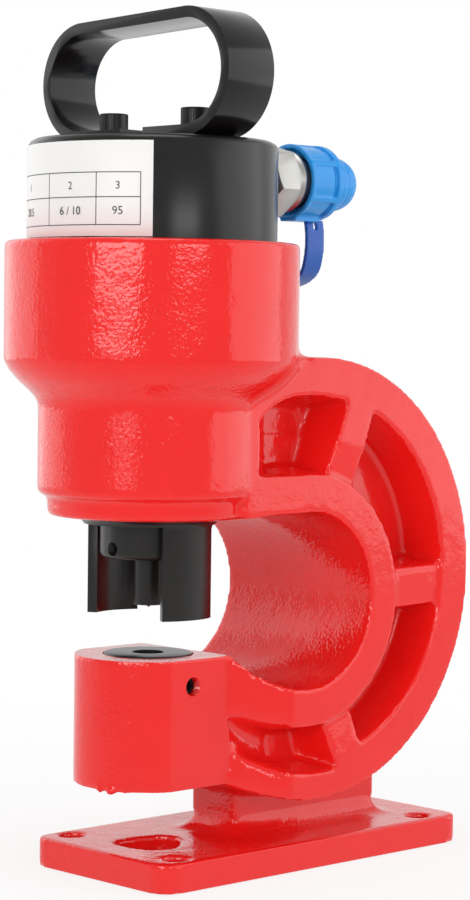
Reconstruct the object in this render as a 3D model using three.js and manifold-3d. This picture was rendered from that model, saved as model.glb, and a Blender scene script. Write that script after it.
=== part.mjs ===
// Hydraulic hole punch: a cast C-frame on a bolt-down base, with a die in its anvil and a
// single-acting hydraulic cylinder above that drives a punch down through a fork stripper.
// Millimetres, +Z up, +X from the front of the base to its back. The origin is the centre of
// the base's underside. Most pieces are built about the punch line, a vertical axis near the
// front of the base, and are placed by one group that stands on it.
import * as THREE from "three";
import { mergeVertices } from "three/addons/utils/BufferGeometryUtils.js";
import Module from "manifold-3d";

const wasm = await Module();
wasm.setup();

// Fits and modelling allowances
const seatGap = 0.3;
const slideGap = 0.1;
const labelGap = 0.1;
const overrun = 2;
const mergeDistance = 0.0001;

// Smoothness of round faces, in sides of a full turn
const largeSides = 64;
const mediumSides = 36;
const smallSides = 18;
const arcSides = 16;
const coilStepsPerTurn = 8;
const coilSectionSides = 5;

// Base plate
const baseLength = 192.6;
const baseWidth = 90;
const baseThickness = 13.1;
const baseCornerRadius = 9;
const boltHoleRadius = 5.75;
const frontHoleInset = 15.6;
const rearHoleInset = 20.3;
const sideHoleInset = 9.9;
const slugHoleRadius = 15;
const punchLineInset = 29.5;

// Pedestal between the base and the frame
const pedestalFront = 41;
const pedestalLength = 93;
const pedestalWidth = 28.6;
const pedestalHeight = 18.9;
const pedestalFoot = 6;

// C-frame
const throatDepth = 95;
const throatRadius = 40;
const throatDaylight = 63.9;
const frameRadius = 100;
const spineWidth = 66.5;
const frameWidth = 95.4;
const webWidth = 53;
const armFront = 14;
const throatRimWidth = 17;
const outerRimWidth = 18;
const lowerRimWidth = 12;
const ribWidth = 17.5;
const pocketDraft = 4;
const pocketFront = 22;
const lowerPocketFront = 20;
const ribFaceDrop = 1.8;
const ribSlopeLength = 18;
const ribAnglesDegrees = [70, 2, -70];

// Anvil
const anvilClearance = 27.9;
const anvilHeight = 57.6;
const anvilRadius = 33;
const anvilWidth = 59;
const anvilSideLength = 20.3;
const anvilFlareLength = 24.3;

// Cylinder boss of the casting, from the arm's underside upwards
const guideRingRadius = 45.8;
const guideRingHeight = 8;
const lowerBossRadius = 50.25;
const lowerBossHeight = 37;
const shoulderHeight = 21.8;
const upperBossRadius = 65.7;
const upperBossHeight = 52.8;
const bossEdge = 2;
const guideFloorThickness = 17.5;
const springChamberRadius = 36;

// Cylinder barrel
const barrelRadius = 55.5;
const barrelHeadHeight = 44.6;
const barrelChamfer = 3;
const barrelThreadRadius = 52.5;
const barrelSkirtLength = 52;
const barrelBoreRadius = 37.5;
const barrelRoofThickness = 27;
const oilPortRadius = 4;
const couplerThreadRadius = 9.5;
const couplerThreadLength = 13;
const couplerSeatRadius = 14.5;
const couplerSeatDepth = 1.5;
const couplerDrop = 13.4;

// Name plate
const labelHalfAngleDegrees = 48;
const labelHeight = 40.6;
const labelLift = 0.7;
const labelThickness = 0.4;

// Carrying handle: a flat bar bent into a loop that stands along Y
const handleWidth = 27;
const handleThickness = 5;
const handleLength = 124;
const handleHeight = 55.7;
const handleLeftHeight = 53.6;
const handleSeam = 15;
const handleScrewSpacing = 54;
const handleScrewRadius = 4;
const handleScrewHeadRadius = 6.6;
const handleScrewHeadHeight = 8;
const handleScrewLength = 20;
const handleScrewSocketRadius = 3.5;
const handleScrewSocketDepth = 4;

// Coupler half
const sealWasherRadius = 13;
const sealWasherThickness = 1.5;
const couplerNeckRadius = 11;
const couplerNeckLength = 7.6;
const couplerHexAcross = 30;
const couplerHexLength = 14;
const couplerHexTurnDegrees = 15.4;
const couplerHexChamfer = 1.6;
const couplerCollarRadius = 14.4;
const couplerCollarLength = 6;
const couplerNoseRadius = 12;
const couplerNoseLength = 15;
const couplerBoreRadius = 4;
const valveBoreRadius = 7;
const valveSeatThickness = 4;
const valveMouthRadius = 4.4;
const poppetHeadRadius = 6.4;
const poppetHeadThickness = 5;
const poppetStemRadius = 2.2;
const poppetSpringRadius = 4.4;
const poppetSpringWire = 0.9;
const poppetSpringTurns = 5;
const valveChamberLength = 26;
const springSeatThickness = 2.5;
const springSeatBore = 3;

// Dust cap and its tether
const capRadius = 17;
const capWall = 4.4;
const capRimWidth = 2.4;
const capRimRise = 0.6;
const capSleeveLength = 15;
const capFlangeLength = 3.6;
const capFlangeRise = 0.7;
const capDomeRadius = 13.5;
const capDomeLength = 18;
const capRibCount = 6;
const capRibWidth = 3;
const capRibRise = 0.6;
const tetherWidth = 11.5;
const tetherThickness = 2;
const tetherRingRadius = 15;
const tetherRingWidth = 4;
const tetherSwing = 26.5;
const tetherDrop = 30.2;
const tetherSteps = 26;

// Stripper
const stripperNeckRadius = 30;
const stripperCollarRadius = 32;
const stripperCollarHeight = 2.7;
const stripperLegOuterRadius = 29;
const stripperLegInnerRadius = 24.5;
const stripperReach = 46.7;
const stripperLegHalfAngleDegrees = 30;
const stripperWindowTop = 5.5;
const bushSeatRadius = 26;
const bushSeatDepth = 11;
const bushWall = 3.8;
const wiperSeatDepth = 5;
const wiperLipHeight = 2;
const lipRadius = 22.6;

// Piston, ram and return spring
const pistonHeight = 28;
const pistonEdge = 1.2;
const ramRadius = 22;
const ramNeckRadius = 14;
const ramNeckLength = 15;
const ramReach = 20.7;
const ramChamfer = 2.6;
const sealGrooveDepth = 4.2;
const sealGrooveHeight = 7;
const backupRingHeight = 2;
const wearRingDepth = 2.4;
const wearRingHeight = 8;
const pistonLand = 3.5;
const springMeanRadius = 29;
const springWire = 5.6;
const springTurns = 7;
const springSeatWasherThickness = 2.5;
const springSeatWasherBore = 23;

// Punch and die
const punchTipRadius = 6.9;
const punchTipReach = 21.1;
const punchShankRadius = 10;
const punchShankLength = 24;
const punchShoulder = 2;
const punchPipRadius = 1.6;
const punchPipHeight = 1.4;
const punchScrewRadius = 3;
const punchScrewLength = 8.5;
const punchScrewHeight = 4.4;
const dieRadius = 20.07;
const dieHeight = 22.6;
const dieProud = 0.6;
const dieClearance = 0.15;
const dieLandHeight = 6;
const dieReliefRadius = 8.5;
const dieEdge = 0.8;
const slugBoreRadius = 12;
const dieScrewRadius = 4.1;
const dieScrewLength = 6;
const dieScrewDrop = 12.6;
const setScrewSocketShare = 0.55;
const setScrewSocketDepthShare = 0.4;

// Heights and places that follow from the sizes above
const punchLineX = punchLineInset - baseLength / 2;
const frameBottom = baseThickness + pedestalHeight;
const frameCentreHeight = frameBottom + frameRadius;
const frameCentreX = throatDepth + spineWidth - frameRadius;
const anvilBottom = baseThickness + anvilClearance;
const anvilTop = anvilBottom + anvilHeight;
const armUnderside = anvilTop + throatDaylight;
const throatCentreHeight = armUnderside - throatRadius;
const throatCentreX = throatDepth - throatRadius;
const lowerBossBottom = armUnderside + guideRingHeight;
const shoulderBottom = lowerBossBottom + lowerBossHeight;
const upperBossBottom = shoulderBottom + shoulderHeight;
const bossTop = upperBossBottom + upperBossHeight;
const guideFloorTop = armUnderside + guideFloorThickness;
const skirtBottom = bossTop - barrelSkirtLength;
const barrelTop = bossTop + barrelHeadHeight;
const boreTop = barrelTop - barrelRoofThickness;
const couplerHeight = barrelTop - couplerDrop;
const dieTop = anvilTop + dieProud;
const dieBottom = dieTop - dieHeight;
const ramTip = armUnderside - ramReach;
const pistonTop = boreTop - seatGap;
const pistonBottom = pistonTop - pistonHeight;
const pistonRadius = barrelBoreRadius - slideGap;
const springSeatTop = guideFloorTop + seatGap + springSeatWasherThickness;
const handleBottom = barrelTop + seatGap;
const handleRightRadius = handleHeight / 2;
const handleLeftRadius = handleLeftHeight / 2;
const handleStraight = handleLength - handleHeight;
const handleScrewSeat = handleBottom + handleThickness + seatGap;
const handleScrewBottom = handleScrewSeat - handleScrewLength;
const bushSeat = guideFloorTop - bushSeatDepth;
const wiperTop = bushSeat - wiperLipHeight;
const wiperBottom = wiperTop - wiperSeatDepth;
const sealTop = pistonTop - pistonLand;
const sealBottom = sealTop - sealGrooveHeight;
const backupTop = sealBottom + backupRingHeight;
const wearTop = sealBottom - pistonLand;
const wearBottom = wearTop - wearRingHeight;

// Places along the coupler's own axis, from the punch line outwards
const couplerSeatReach = barrelRadius - couplerSeatDepth;
const washerFace = couplerSeatReach + seatGap;
const neckFace = washerFace + sealWasherThickness + seatGap;
const hexFace = neckFace + couplerNeckLength;
const collarFace = hexFace + couplerHexLength;
const noseFace = collarFace + couplerCollarLength;
const noseEnd = noseFace + couplerNoseLength;
const valveSeatFace = noseEnd - valveSeatThickness;
const chamberFace = valveSeatFace - valveChamberLength;
const poppetFace = valveSeatFace - seatGap;
const poppetBack = poppetFace - poppetHeadThickness;
const springSeatFace = chamberFace + springSeatThickness + seatGap;
const capFace = noseFace + capRimWidth;
const capFlangeFace = capFace + capSleeveLength;
const capDomeFace = capFlangeFace + capFlangeLength;
const capEnd = capDomeFace + capDomeLength;

// The boss's shoulder, as shares of its spread and of its height
const shoulderShares = [[0.05, 0.2], [0.14, 0.29], [0.36, 0.44], [0.62, 0.61], [0.85, 0.8]];

// The dust cap's domed end, as shares of its radius and of its length
const capDomeShares = [[1, 0.3], [0.97, 0.54], [0.88, 0.74], [0.74, 0.89], [0.5, 0.98]];

// The tether's route from under the cap, down, round behind the boss and up to the ring on the
// coupler's neck. Each row is a place, as shares of the run along the coupler's axis, of the
// swing to the side and of the drop below the cap, and then the direction across the strap.
const tetherRouteShares = [
  [0, -0.02, 0, 1, 0, 0],
  [0, -0.057, 0.215, 1, 0, 0],
  [0, -0.04, 0.53, 1, 0, 0],
  [0.005, 0.094, 0.828, 1, 0.05, 0],
  [0.07, 0.453, 1, 0.98, 0.15, 0.05],
  [0.24, 0.85, 0.927, 0.9, 0.38, 0.2],
  [0.462, 1, 0.662, 0.75, 0.55, 0.35],
  [0.697, 0.906, 0.348, 0.45, 0.74, 0.5],
  [0.893, 0.64, 0.083, 0.15, 0.8, 0.58],
  [0.982, 0.385, -0.126, 0, 0.82, 0.575],
  [1, 0.283, -0.239, 0, 0.82, 0.575],
];

const colours = {
  redPaint: 0xe8322e,
  blackOxide: 0x3a3634,
  label: 0xf4f3f1,
  nickel: 0xd9d8d2,
  bluePlastic: 0x2f86dc,
  steel: 0xb9bcc0,
  bronze: 0xb08d57,
  seal: 0x24262a,
  springSteel: 0x8d9196,
};

const finishes = {
  redPaint: new THREE.MeshStandardMaterial({ color: colours.redPaint, roughness: 0.28, metalness: 0 }),
  blackOxide: new THREE.MeshStandardMaterial({ color: colours.blackOxide, roughness: 0.45, metalness: 0.6 }),
  label: new THREE.MeshStandardMaterial({ color: colours.label, roughness: 0.5, metalness: 0 }),
  nickel: new THREE.MeshStandardMaterial({ color: colours.nickel, roughness: 0.25, metalness: 1 }),
  bluePlastic: new THREE.MeshStandardMaterial({ color: colours.bluePlastic, roughness: 0.4, metalness: 0 }),
  steel: new THREE.MeshStandardMaterial({ color: colours.steel, roughness: 0.3, metalness: 1 }),
  bronze: new THREE.MeshStandardMaterial({ color: colours.bronze, roughness: 0.35, metalness: 1 }),
  seal: new THREE.MeshStandardMaterial({ color: colours.seal, roughness: 0.7, metalness: 0 }),
  springSteel: new THREE.MeshStandardMaterial({ color: colours.springSteel, roughness: 0.35, metalness: 1 }),
};

const unitX = new THREE.Vector3(1, 0, 0);
const unitY = new THREE.Vector3(0, 1, 0);
const unitZ = new THREE.Vector3(0, 0, 1);

// A turn of the lathe's own axis, Y, onto the named axis.
const latheTurns = {
  x: new THREE.Matrix4().makeBasis(unitZ, unitX, unitY),
  y: new THREE.Matrix4(),
  z: new THREE.Matrix4().makeBasis(unitY, unitZ, unitX),
};

// A turn of an extrusion's own direction, Z, onto the named axis. Outlines for x are drawn in
// (Y, Z), for y in (X, Z) and for z in (X, Y).
const extrusionTurns = {
  x: new THREE.Matrix4().makeBasis(unitY, unitZ, unitX),
  y: new THREE.Matrix4().makeBasis(unitX, unitZ, unitY.clone().negate()),
  z: new THREE.Matrix4(),
};

// A geometry's closed surface as a solid that can be joined and cut.
function solidOf(geometry) {
  const bare = new THREE.BufferGeometry();
  bare.setAttribute("position", geometry.getAttribute("position"));
  bare.setIndex(geometry.index);
  const merged = mergeVertices(bare, mergeDistance);
  const corners = merged.index.array;
  const kept = [];
  for (let i = 0; i < corners.length; i += 3) {
    const [a, b, c] = corners.slice(i, i + 3);
    if (a !== b && b !== c && c !== a) kept.push(a, b, c);
  }
  const surface = new wasm.Mesh({
    numProp: 3,
    vertProperties: merged.getAttribute("position").array,
    triVerts: new Uint32Array(kept),
  });
  return new wasm.Manifold(surface);
}

function geometryOf(solid) {
  const surface = solid.getMesh();
  const geometry = new THREE.BufferGeometry();
  geometry.setAttribute("position", new THREE.BufferAttribute(surface.vertProperties, 3));
  geometry.setIndex(new THREE.BufferAttribute(surface.triVerts, 1));
  geometry.computeVertexNormals();
  return geometry;
}

// A body of revolution about an axis, from [radius, place along the axis] pairs that run
// upwards on the outside. A ring's outline closes on itself, another starts and ends at radius 0.
function turned(outline, axis, sides) {
  const points = outline.map(([radius, place]) => new THREE.Vector2(radius, place));
  const geometry = new THREE.LatheGeometry(points, sides);
  return solidOf(geometry.applyMatrix4(latheTurns[axis]));
}

function ring(innerRadius, outerRadius, low, high, axis, sides) {
  const outline = [
    [innerRadius, low],
    [outerRadius, low],
    [outerRadius, high],
    [innerRadius, high],
    [innerRadius, low],
  ];
  return turned(outline, axis, sides);
}

function rod(radius, low, high, axis, sides) {
  const outline = [
    [0, low],
    [radius, low],
    [radius, high],
    [0, high],
  ];
  return turned(outline, axis, sides);
}

// An outline pushed along an axis from low to high.
function extruded(outline, axis, low, high) {
  const geometry = new THREE.ExtrudeGeometry(outline, {
    depth: high - low,
    bevelEnabled: false,
    curveSegments: arcSides,
  });
  geometry.translate(0, 0, axis === "y" ? -high : low);
  return solidOf(geometry.applyMatrix4(extrusionTurns[axis]));
}

function polygon(points) {
  return new THREE.Shape(points.map(([across, up]) => new THREE.Vector2(across, up)));
}

function block(lowX, highX, lowY, highY, lowZ, highZ) {
  const outline = polygon([
    [lowX, lowY],
    [highX, lowY],
    [highX, highY],
    [lowX, highY],
  ]);
  return extruded(outline, "z", lowZ, highZ);
}

// A vertical rod that stands at a place in plan.
function post(centreX, centreY, radius, low, high, sides) {
  const geometry = new THREE.CylinderGeometry(radius, radius, high - low, sides);
  geometry.applyMatrix4(latheTurns.z);
  geometry.translate(centreX, centreY, (low + high) / 2);
  return solidOf(geometry);
}

function roundedRectangle(lowX, highX, halfWidth, radius) {
  const outline = new THREE.Shape();
  const quarter = Math.PI / 2;
  outline.moveTo(lowX + radius, -halfWidth);
  outline.lineTo(highX - radius, -halfWidth);
  outline.absarc(highX - radius, radius - halfWidth, radius, -quarter, 0, false);
  outline.lineTo(highX, halfWidth - radius);
  outline.absarc(highX - radius, halfWidth - radius, radius, 0, quarter, false);
  outline.lineTo(lowX + radius, halfWidth);
  outline.absarc(lowX + radius, halfWidth - radius, radius, quarter, 2 * quarter, false);
  outline.lineTo(lowX, radius - halfWidth);
  outline.absarc(lowX + radius, radius - halfWidth, radius, 2 * quarter, 3 * quarter, false);
  return outline;
}

// The same solid on the other side of the frame's middle plane.
function mirroredAcross(solid) {
  const geometry = geometryOf(solid);
  geometry.scale(1, -1, 1);
  const corners = geometry.index.array;
  for (let i = 0; i < corners.length; i += 3) {
    [corners[i + 1], corners[i + 2]] = [corners[i + 2], corners[i + 1]];
  }
  return solidOf(geometry);
}

function moved(solid, x, y, z) {
  return solidOf(geometryOf(solid).translate(x, y, z));
}

function join(solids) {
  return solids.reduce((whole, next) => whole.add(next));
}

function cut(solid, cutters) {
  return cutters.reduce((rest, cutter) => rest.subtract(cutter), solid);
}

// A hexagon drawn about the origin, its first corner turned from the first axis.
function hexagon(acrossFlats, turn) {
  const cornerRadius = acrossFlats / Math.sqrt(3);
  const corners = [];
  for (let i = 0; i < 6; i += 1) {
    const angle = turn + (i * Math.PI) / 3;
    corners.push([cornerRadius * Math.cos(angle), cornerRadius * Math.sin(angle)]);
  }
  return polygon(corners);
}

function makeBase() {
  const front = -punchLineInset;
  const back = front + baseLength;
  const halfWidth = baseWidth / 2;
  const plate = extruded(
    roundedRectangle(front, back, halfWidth, baseCornerRadius), "z", 0, baseThickness,
  );
  const holes = [rod(slugHoleRadius, -overrun, baseThickness + overrun, "z", mediumSides)];
  for (const side of [-1, 1]) {
    for (const x of [front + frontHoleInset, back - rearHoleInset]) {
      const y = side * (halfWidth - sideHoleInset);
      holes.push(post(x, y, boltHoleRadius, -overrun, baseThickness + overrun, smallSides));
    }
  }
  return cut(plate, holes);
}

// The pedestal's column, with a foot that spreads by its own height on all four sides.
function makePedestal() {
  const back = pedestalFront + pedestalLength;
  const halfWidth = pedestalWidth / 2;
  const foot = baseThickness + pedestalFoot;
  const sunk = baseThickness - overrun;
  const lengthways = polygon([
    [pedestalFront - pedestalFoot, sunk],
    [back + pedestalFoot, sunk],
    [back + pedestalFoot, baseThickness],
    [back, foot],
    [pedestalFront, foot],
    [pedestalFront - pedestalFoot, baseThickness],
  ]);
  const crossways = polygon([
    [-halfWidth - pedestalFoot, sunk],
    [halfWidth + pedestalFoot, sunk],
    [halfWidth + pedestalFoot, baseThickness],
    [halfWidth, foot],
    [-halfWidth, foot],
    [-halfWidth - pedestalFoot, baseThickness],
  ]);
  const spread = extruded(lengthways, "y", -halfWidth - pedestalFoot, halfWidth + pedestalFoot);
  const ridge = extruded(crossways, "x", pedestalFront - pedestalFoot, back + pedestalFoot);
  const reach = back - frameCentreX;
  const top = frameCentreHeight - Math.sqrt(frameRadius ** 2 - reach ** 2) + overrun;
  const column = block(pedestalFront, back, -halfWidth, halfWidth, sunk, top);
  return spread.intersect(ridge).add(column);
}

// The C's outline in the X-Z plane: the outer circle from the anvil's underside round the back
// and over the top, then down inside the boss and round the throat to the anvil's top.
function frameOutline() {
  const undersideDrop = frameCentreHeight - anvilBottom;
  const undersideX = frameCentreX - Math.sqrt(frameRadius ** 2 - undersideDrop ** 2);
  const startAngle = Math.atan2(-undersideDrop, undersideX - frameCentreX);
  const anvilDrop = throatCentreHeight - anvilTop;
  const anvilBackX = throatCentreX - Math.sqrt(throatRadius ** 2 - anvilDrop ** 2);
  const endAngle = Math.atan2(-anvilDrop, anvilBackX - throatCentreX);
  const outline = new THREE.Shape();
  outline.moveTo(-anvilRadius, anvilBottom);
  outline.lineTo(undersideX, anvilBottom);
  outline.absarc(frameCentreX, frameCentreHeight, frameRadius, startAngle, Math.PI / 2, false);
  outline.lineTo(armFront, frameCentreHeight + frameRadius);
  outline.lineTo(armFront, armUnderside);
  outline.lineTo(throatCentreX, armUnderside);
  outline.absarc(throatCentreX, throatCentreHeight, throatRadius, Math.PI / 2, endAngle, true);
  outline.lineTo(-anvilRadius, anvilTop);
  return outline;
}

// The anvil in plan: a round nose on the punch line, cut off flat at both sides, then a flare out
// to the frame's full width.
function anvilPlan() {
  const flareEnd = anvilSideLength + anvilFlareLength;
  const halfFrame = frameWidth / 2;
  const halfAnvil = anvilWidth / 2;
  const noseAngle = Math.asin(halfAnvil / anvilRadius);
  const outline = new THREE.Shape();
  outline.moveTo(anvilSideLength, -halfAnvil);
  outline.lineTo(flareEnd, -halfFrame);
  outline.lineTo(flareEnd + overrun, -halfFrame);
  outline.lineTo(flareEnd + overrun, halfFrame);
  outline.lineTo(flareEnd, halfFrame);
  outline.lineTo(anvilSideLength, halfAnvil);
  outline.absarc(0, 0, anvilRadius, Math.PI - noseAngle, Math.PI + noseAngle, false);
  return outline;
}

// A tapered disc about a Y axis on the frame's left side, wider or narrower at its face.
function sideDisc(centreX, centreHeight, faceRadius, growth) {
  const face = frameWidth / 2;
  const web = webWidth / 2;
  const slope = growth / (face - web);
  const topRadius = faceRadius + slope * overrun;
  const geometry = new THREE.CylinderGeometry(
    topRadius, faceRadius - growth, face + overrun - web, largeSides,
  );
  geometry.translate(centreX, (web + face + overrun) / 2, centreHeight);
  return solidOf(geometry);
}

// One rib as a bar from the throat's centre outwards, thicker at the web than at its face.
function ribBar(angleDegrees) {
  const face = frameWidth / 2;
  const web = webWidth / 2;
  const halfFace = ribWidth / 2;
  const section = polygon([
    [-halfFace - pocketDraft, web - overrun],
    [halfFace + pocketDraft, web - overrun],
    [halfFace, face],
    [halfFace, face + 2 * overrun],
    [-halfFace, face + 2 * overrun],
    [-halfFace, face],
  ]);
  const geometry = new THREE.ExtrudeGeometry(section, { depth: 2 * frameRadius, bevelEnabled: false });
  const angle = THREE.MathUtils.degToRad(angleDegrees);
  const along = new THREE.Vector3(Math.cos(angle), 0, Math.sin(angle));
  const across = new THREE.Vector3().crossVectors(unitY, along);
  geometry.applyMatrix4(new THREE.Matrix4().makeBasis(across, unitY, along));
  geometry.translate(throatCentreX, 0, throatCentreHeight);
  return solidOf(geometry);
}

// What the pockets take out of the frame's left side: three between the ribs behind the throat
// and a lower one below it, all bounded by the rims that follow the throat and the outer edge.
function sidePockets() {
  const face = frameWidth / 2;
  const web = webWidth / 2;
  const past = face + overrun;
  const rimRadius = throatRadius + throatRimWidth;
  const rimTop = throatCentreHeight + rimRadius;
  const throatRim = sideDisc(throatCentreX, throatCentreHeight, rimRadius, -pocketDraft);
  const ceilingRim = block(
    -frameRadius, throatCentreX, web - overrun, past + overrun, throatCentreHeight, rimTop,
  );
  const ribs = ribAnglesDegrees.map(ribBar);
  const field = sideDisc(frameCentreX, frameCentreHeight, frameRadius - outerRimWidth, pocketDraft);
  const keepLeft = block(
    -frameRadius, pocketFront, web - overrun, past + overrun, anvilBottom, 2 * frameCentreHeight,
  );
  const rear = cut(field, [throatRim, ceilingRim, ...ribs, keepLeft]);
  const lowerField = sideDisc(
    frameCentreX, frameCentreHeight, frameRadius - lowerRimWidth, pocketDraft,
  );
  const lowerRibAngle = THREE.MathUtils.degToRad(ribAnglesDegrees.at(-1));
  const lowerBack = throatCentreX + rimRadius * Math.cos(lowerRibAngle);
  const lowerWindow = block(
    lowerPocketFront, lowerBack, web - overrun, past, 0, throatCentreHeight - throatRadius,
  );
  const lower = cut(lowerField, [throatRim, ribs.at(-1)]).intersect(lowerWindow);
  const ribSlope = turned(
    [
      [0, face - ribFaceDrop],
      [rimRadius, face - ribFaceDrop],
      [rimRadius + ribSlopeLength, face],
      [rimRadius + ribSlopeLength, past],
      [0, past],
    ],
    "y",
    largeSides,
  );
  const middleRibFace = block(
    throatCentreX, 2 * frameRadius, face - ribFaceDrop, past,
    throatCentreHeight - ribWidth, throatCentreHeight + ribWidth,
  );
  const slopes = moved(ribSlope, throatCentreX, 0, throatCentreHeight).add(middleRibFace);
  const ribFaces = cut(field.intersect(slopes), [throatRim, ceilingRim, keepLeft]);
  return join([rear, lower, ribFaces]);
}

function makeFrame() {
  const halfFrame = frameWidth / 2;
  const slab = extruded(frameOutline(), "y", -halfFrame, halfFrame);
  const flareEnd = anvilSideLength + anvilFlareLength;
  const surround = block(
    -anvilRadius - overrun, flareEnd, -halfFrame - overrun, halfFrame + overrun,
    baseThickness, throatCentreHeight,
  );
  const plan = extruded(anvilPlan(), "z", baseThickness - overrun, throatCentreHeight + overrun);
  const pockets = sidePockets();
  return cut(slab, [surround.subtract(plan), pockets, mirroredAcross(pockets)]);
}

function makeBoss() {
  const outline = [
    [0, armUnderside],
    [guideRingRadius, armUnderside],
    [guideRingRadius, lowerBossBottom - bossEdge],
    [lowerBossRadius - bossEdge, lowerBossBottom],
    [lowerBossRadius, lowerBossBottom + bossEdge],
    [lowerBossRadius, shoulderBottom],
  ];
  const spread = upperBossRadius - lowerBossRadius;
  for (const [out, up] of shoulderShares) {
    outline.push([lowerBossRadius + spread * out, shoulderBottom + shoulderHeight * up]);
  }
  outline.push(
    [upperBossRadius, upperBossBottom],
    [upperBossRadius, bossTop - bossEdge],
    [upperBossRadius - bossEdge, bossTop],
    [0, bossTop],
  );
  return turned(outline, "z", largeSides);
}

function makeCasting() {
  const body = join([makeBase(), makePedestal(), makeFrame(), makeBoss()]);
  const bores = [
    [
      [0, armUnderside - overrun],
      [stripperNeckRadius + seatGap, armUnderside - overrun],
      [stripperNeckRadius + seatGap, guideFloorTop],
      [springChamberRadius, guideFloorTop],
      [springChamberRadius, skirtBottom - seatGap],
      [barrelThreadRadius + seatGap, skirtBottom - seatGap],
      [barrelThreadRadius + seatGap, bossTop + overrun],
      [0, bossTop + overrun],
    ],
    [
      [0, anvilBottom - overrun],
      [slugBoreRadius, anvilBottom - overrun],
      [slugBoreRadius, dieBottom - seatGap],
      [dieRadius + seatGap, dieBottom - seatGap],
      [dieRadius + seatGap, anvilTop + overrun],
      [0, anvilTop + overrun],
    ],
  ].map((outline) => turned(outline, "z", largeSides));
  const screwHole = rod(dieScrewRadius + slideGap, -anvilRadius - overrun, -dieRadius, "y", smallSides);
  return cut(body, [...bores, moved(screwHole, 0, 0, dieTop - dieScrewDrop)]);
}

function makeBarrel() {
  const outline = [
    [barrelBoreRadius, skirtBottom],
    [barrelThreadRadius, skirtBottom],
    [barrelThreadRadius, bossTop + seatGap],
    [barrelRadius, bossTop + seatGap],
    [barrelRadius, barrelTop - barrelChamfer],
    [barrelRadius - barrelChamfer, barrelTop],
    [0, barrelTop],
    [0, boreTop],
    [barrelBoreRadius, boreTop],
    [barrelBoreRadius, skirtBottom],
  ];
  const shell = turned(outline, "z", largeSides);
  const port = [
    [0, 0],
    [oilPortRadius, 0],
    [oilPortRadius, barrelRadius - couplerThreadLength - overrun],
    [couplerThreadRadius + slideGap, barrelRadius - couplerThreadLength - overrun],
    [couplerThreadRadius + slideGap, couplerSeatReach],
    [couplerSeatRadius, couplerSeatReach],
    [couplerSeatRadius, barrelRadius + overrun],
    [0, barrelRadius + overrun],
  ];
  const sidePort = moved(turned(port, "x", mediumSides), 0, 0, couplerHeight);
  const downPort = rod(oilPortRadius, boreTop - overrun, couplerHeight, "z", smallSides);
  const screwHoles = [-1, 1].map((side) => post(
    0, (side * handleScrewSpacing) / 2, handleScrewRadius + slideGap,
    handleScrewBottom - seatGap, barrelTop + overrun, smallSides,
  ));
  return cut(shell, [sidePort, downPort, ...screwHoles]);
}

// A strip of the barrel's front, bent round it.
function makeLabel() {
  const halfAngle = THREE.MathUtils.degToRad(labelHalfAngleDegrees);
  const innerRadius = barrelRadius + labelGap;
  const outerRadius = innerRadius + labelThickness;
  const start = Math.PI - halfAngle;
  const end = Math.PI + halfAngle;
  const outline = new THREE.Shape();
  outline.moveTo(outerRadius * Math.cos(start), outerRadius * Math.sin(start));
  outline.absarc(0, 0, outerRadius, start, end, false);
  outline.lineTo(innerRadius * Math.cos(end), innerRadius * Math.sin(end));
  outline.absarc(0, 0, innerRadius, end, start, true);
  const low = bossTop + labelLift;
  return extruded(outline, "z", low, low + labelHeight);
}

function makeHandle() {
  const seam = handleSeam / 2;
  const half = handleStraight / 2;
  const quarter = Math.PI / 2;
  const rightCentre = handleBottom + handleRightRadius;
  const leftCentre = handleBottom + handleLeftRadius;
  const inside = handleBottom + handleThickness;
  const outline = new THREE.Shape();
  outline.moveTo(-seam, handleBottom);
  outline.lineTo(-half, handleBottom);
  outline.absarc(-half, rightCentre, handleRightRadius, 3 * quarter, quarter, true);
  outline.lineTo(half, handleBottom + handleLeftHeight);
  outline.absarc(half, leftCentre, handleLeftRadius, quarter, -quarter, true);
  outline.lineTo(seam, handleBottom);
  outline.lineTo(seam, inside);
  outline.lineTo(half, inside);
  outline.absarc(half, leftCentre, handleLeftRadius - handleThickness, -quarter, quarter, false);
  outline.lineTo(-half, handleBottom + handleHeight - handleThickness);
  outline.absarc(
    -half, rightCentre, handleRightRadius - handleThickness, quarter, 3 * quarter, false,
  );
  outline.lineTo(-seam, inside);
  const strap = extruded(outline, "x", -handleWidth / 2, handleWidth / 2);
  const holes = [-1, 1].map((side) => post(
    0, (side * handleScrewSpacing) / 2, handleScrewRadius + seatGap,
    handleBottom - overrun, inside + overrun, smallSides,
  ));
  return cut(strap, holes);
}

// A socket head cap screw on the Z axis, its head's seat at height 0.
function makeCapScrew() {
  const outline = [
    [0, -handleScrewLength],
    [handleScrewRadius, -handleScrewLength],
    [handleScrewRadius, 0],
    [handleScrewHeadRadius, 0],
    [handleScrewHeadRadius, handleScrewHeadHeight],
    [0, handleScrewHeadHeight],
  ];
  const socket = extruded(
    hexagon(2 * handleScrewSocketRadius, 0), "z",
    handleScrewHeadHeight - handleScrewSocketDepth, handleScrewHeadHeight + overrun,
  );
  return turned(outline, "z", smallSides).subtract(socket);
}

// A headless set screw along an axis from its point to its socket end.
function makeSetScrew(radius, length, axis) {
  const socketDepth = length * setScrewSocketDepthShare;
  const socket = extruded(hexagon(2 * radius * setScrewSocketShare, 0), axis, -overrun, socketDepth);
  return rod(radius, 0, length, axis, smallSides).subtract(socket);
}

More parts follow.
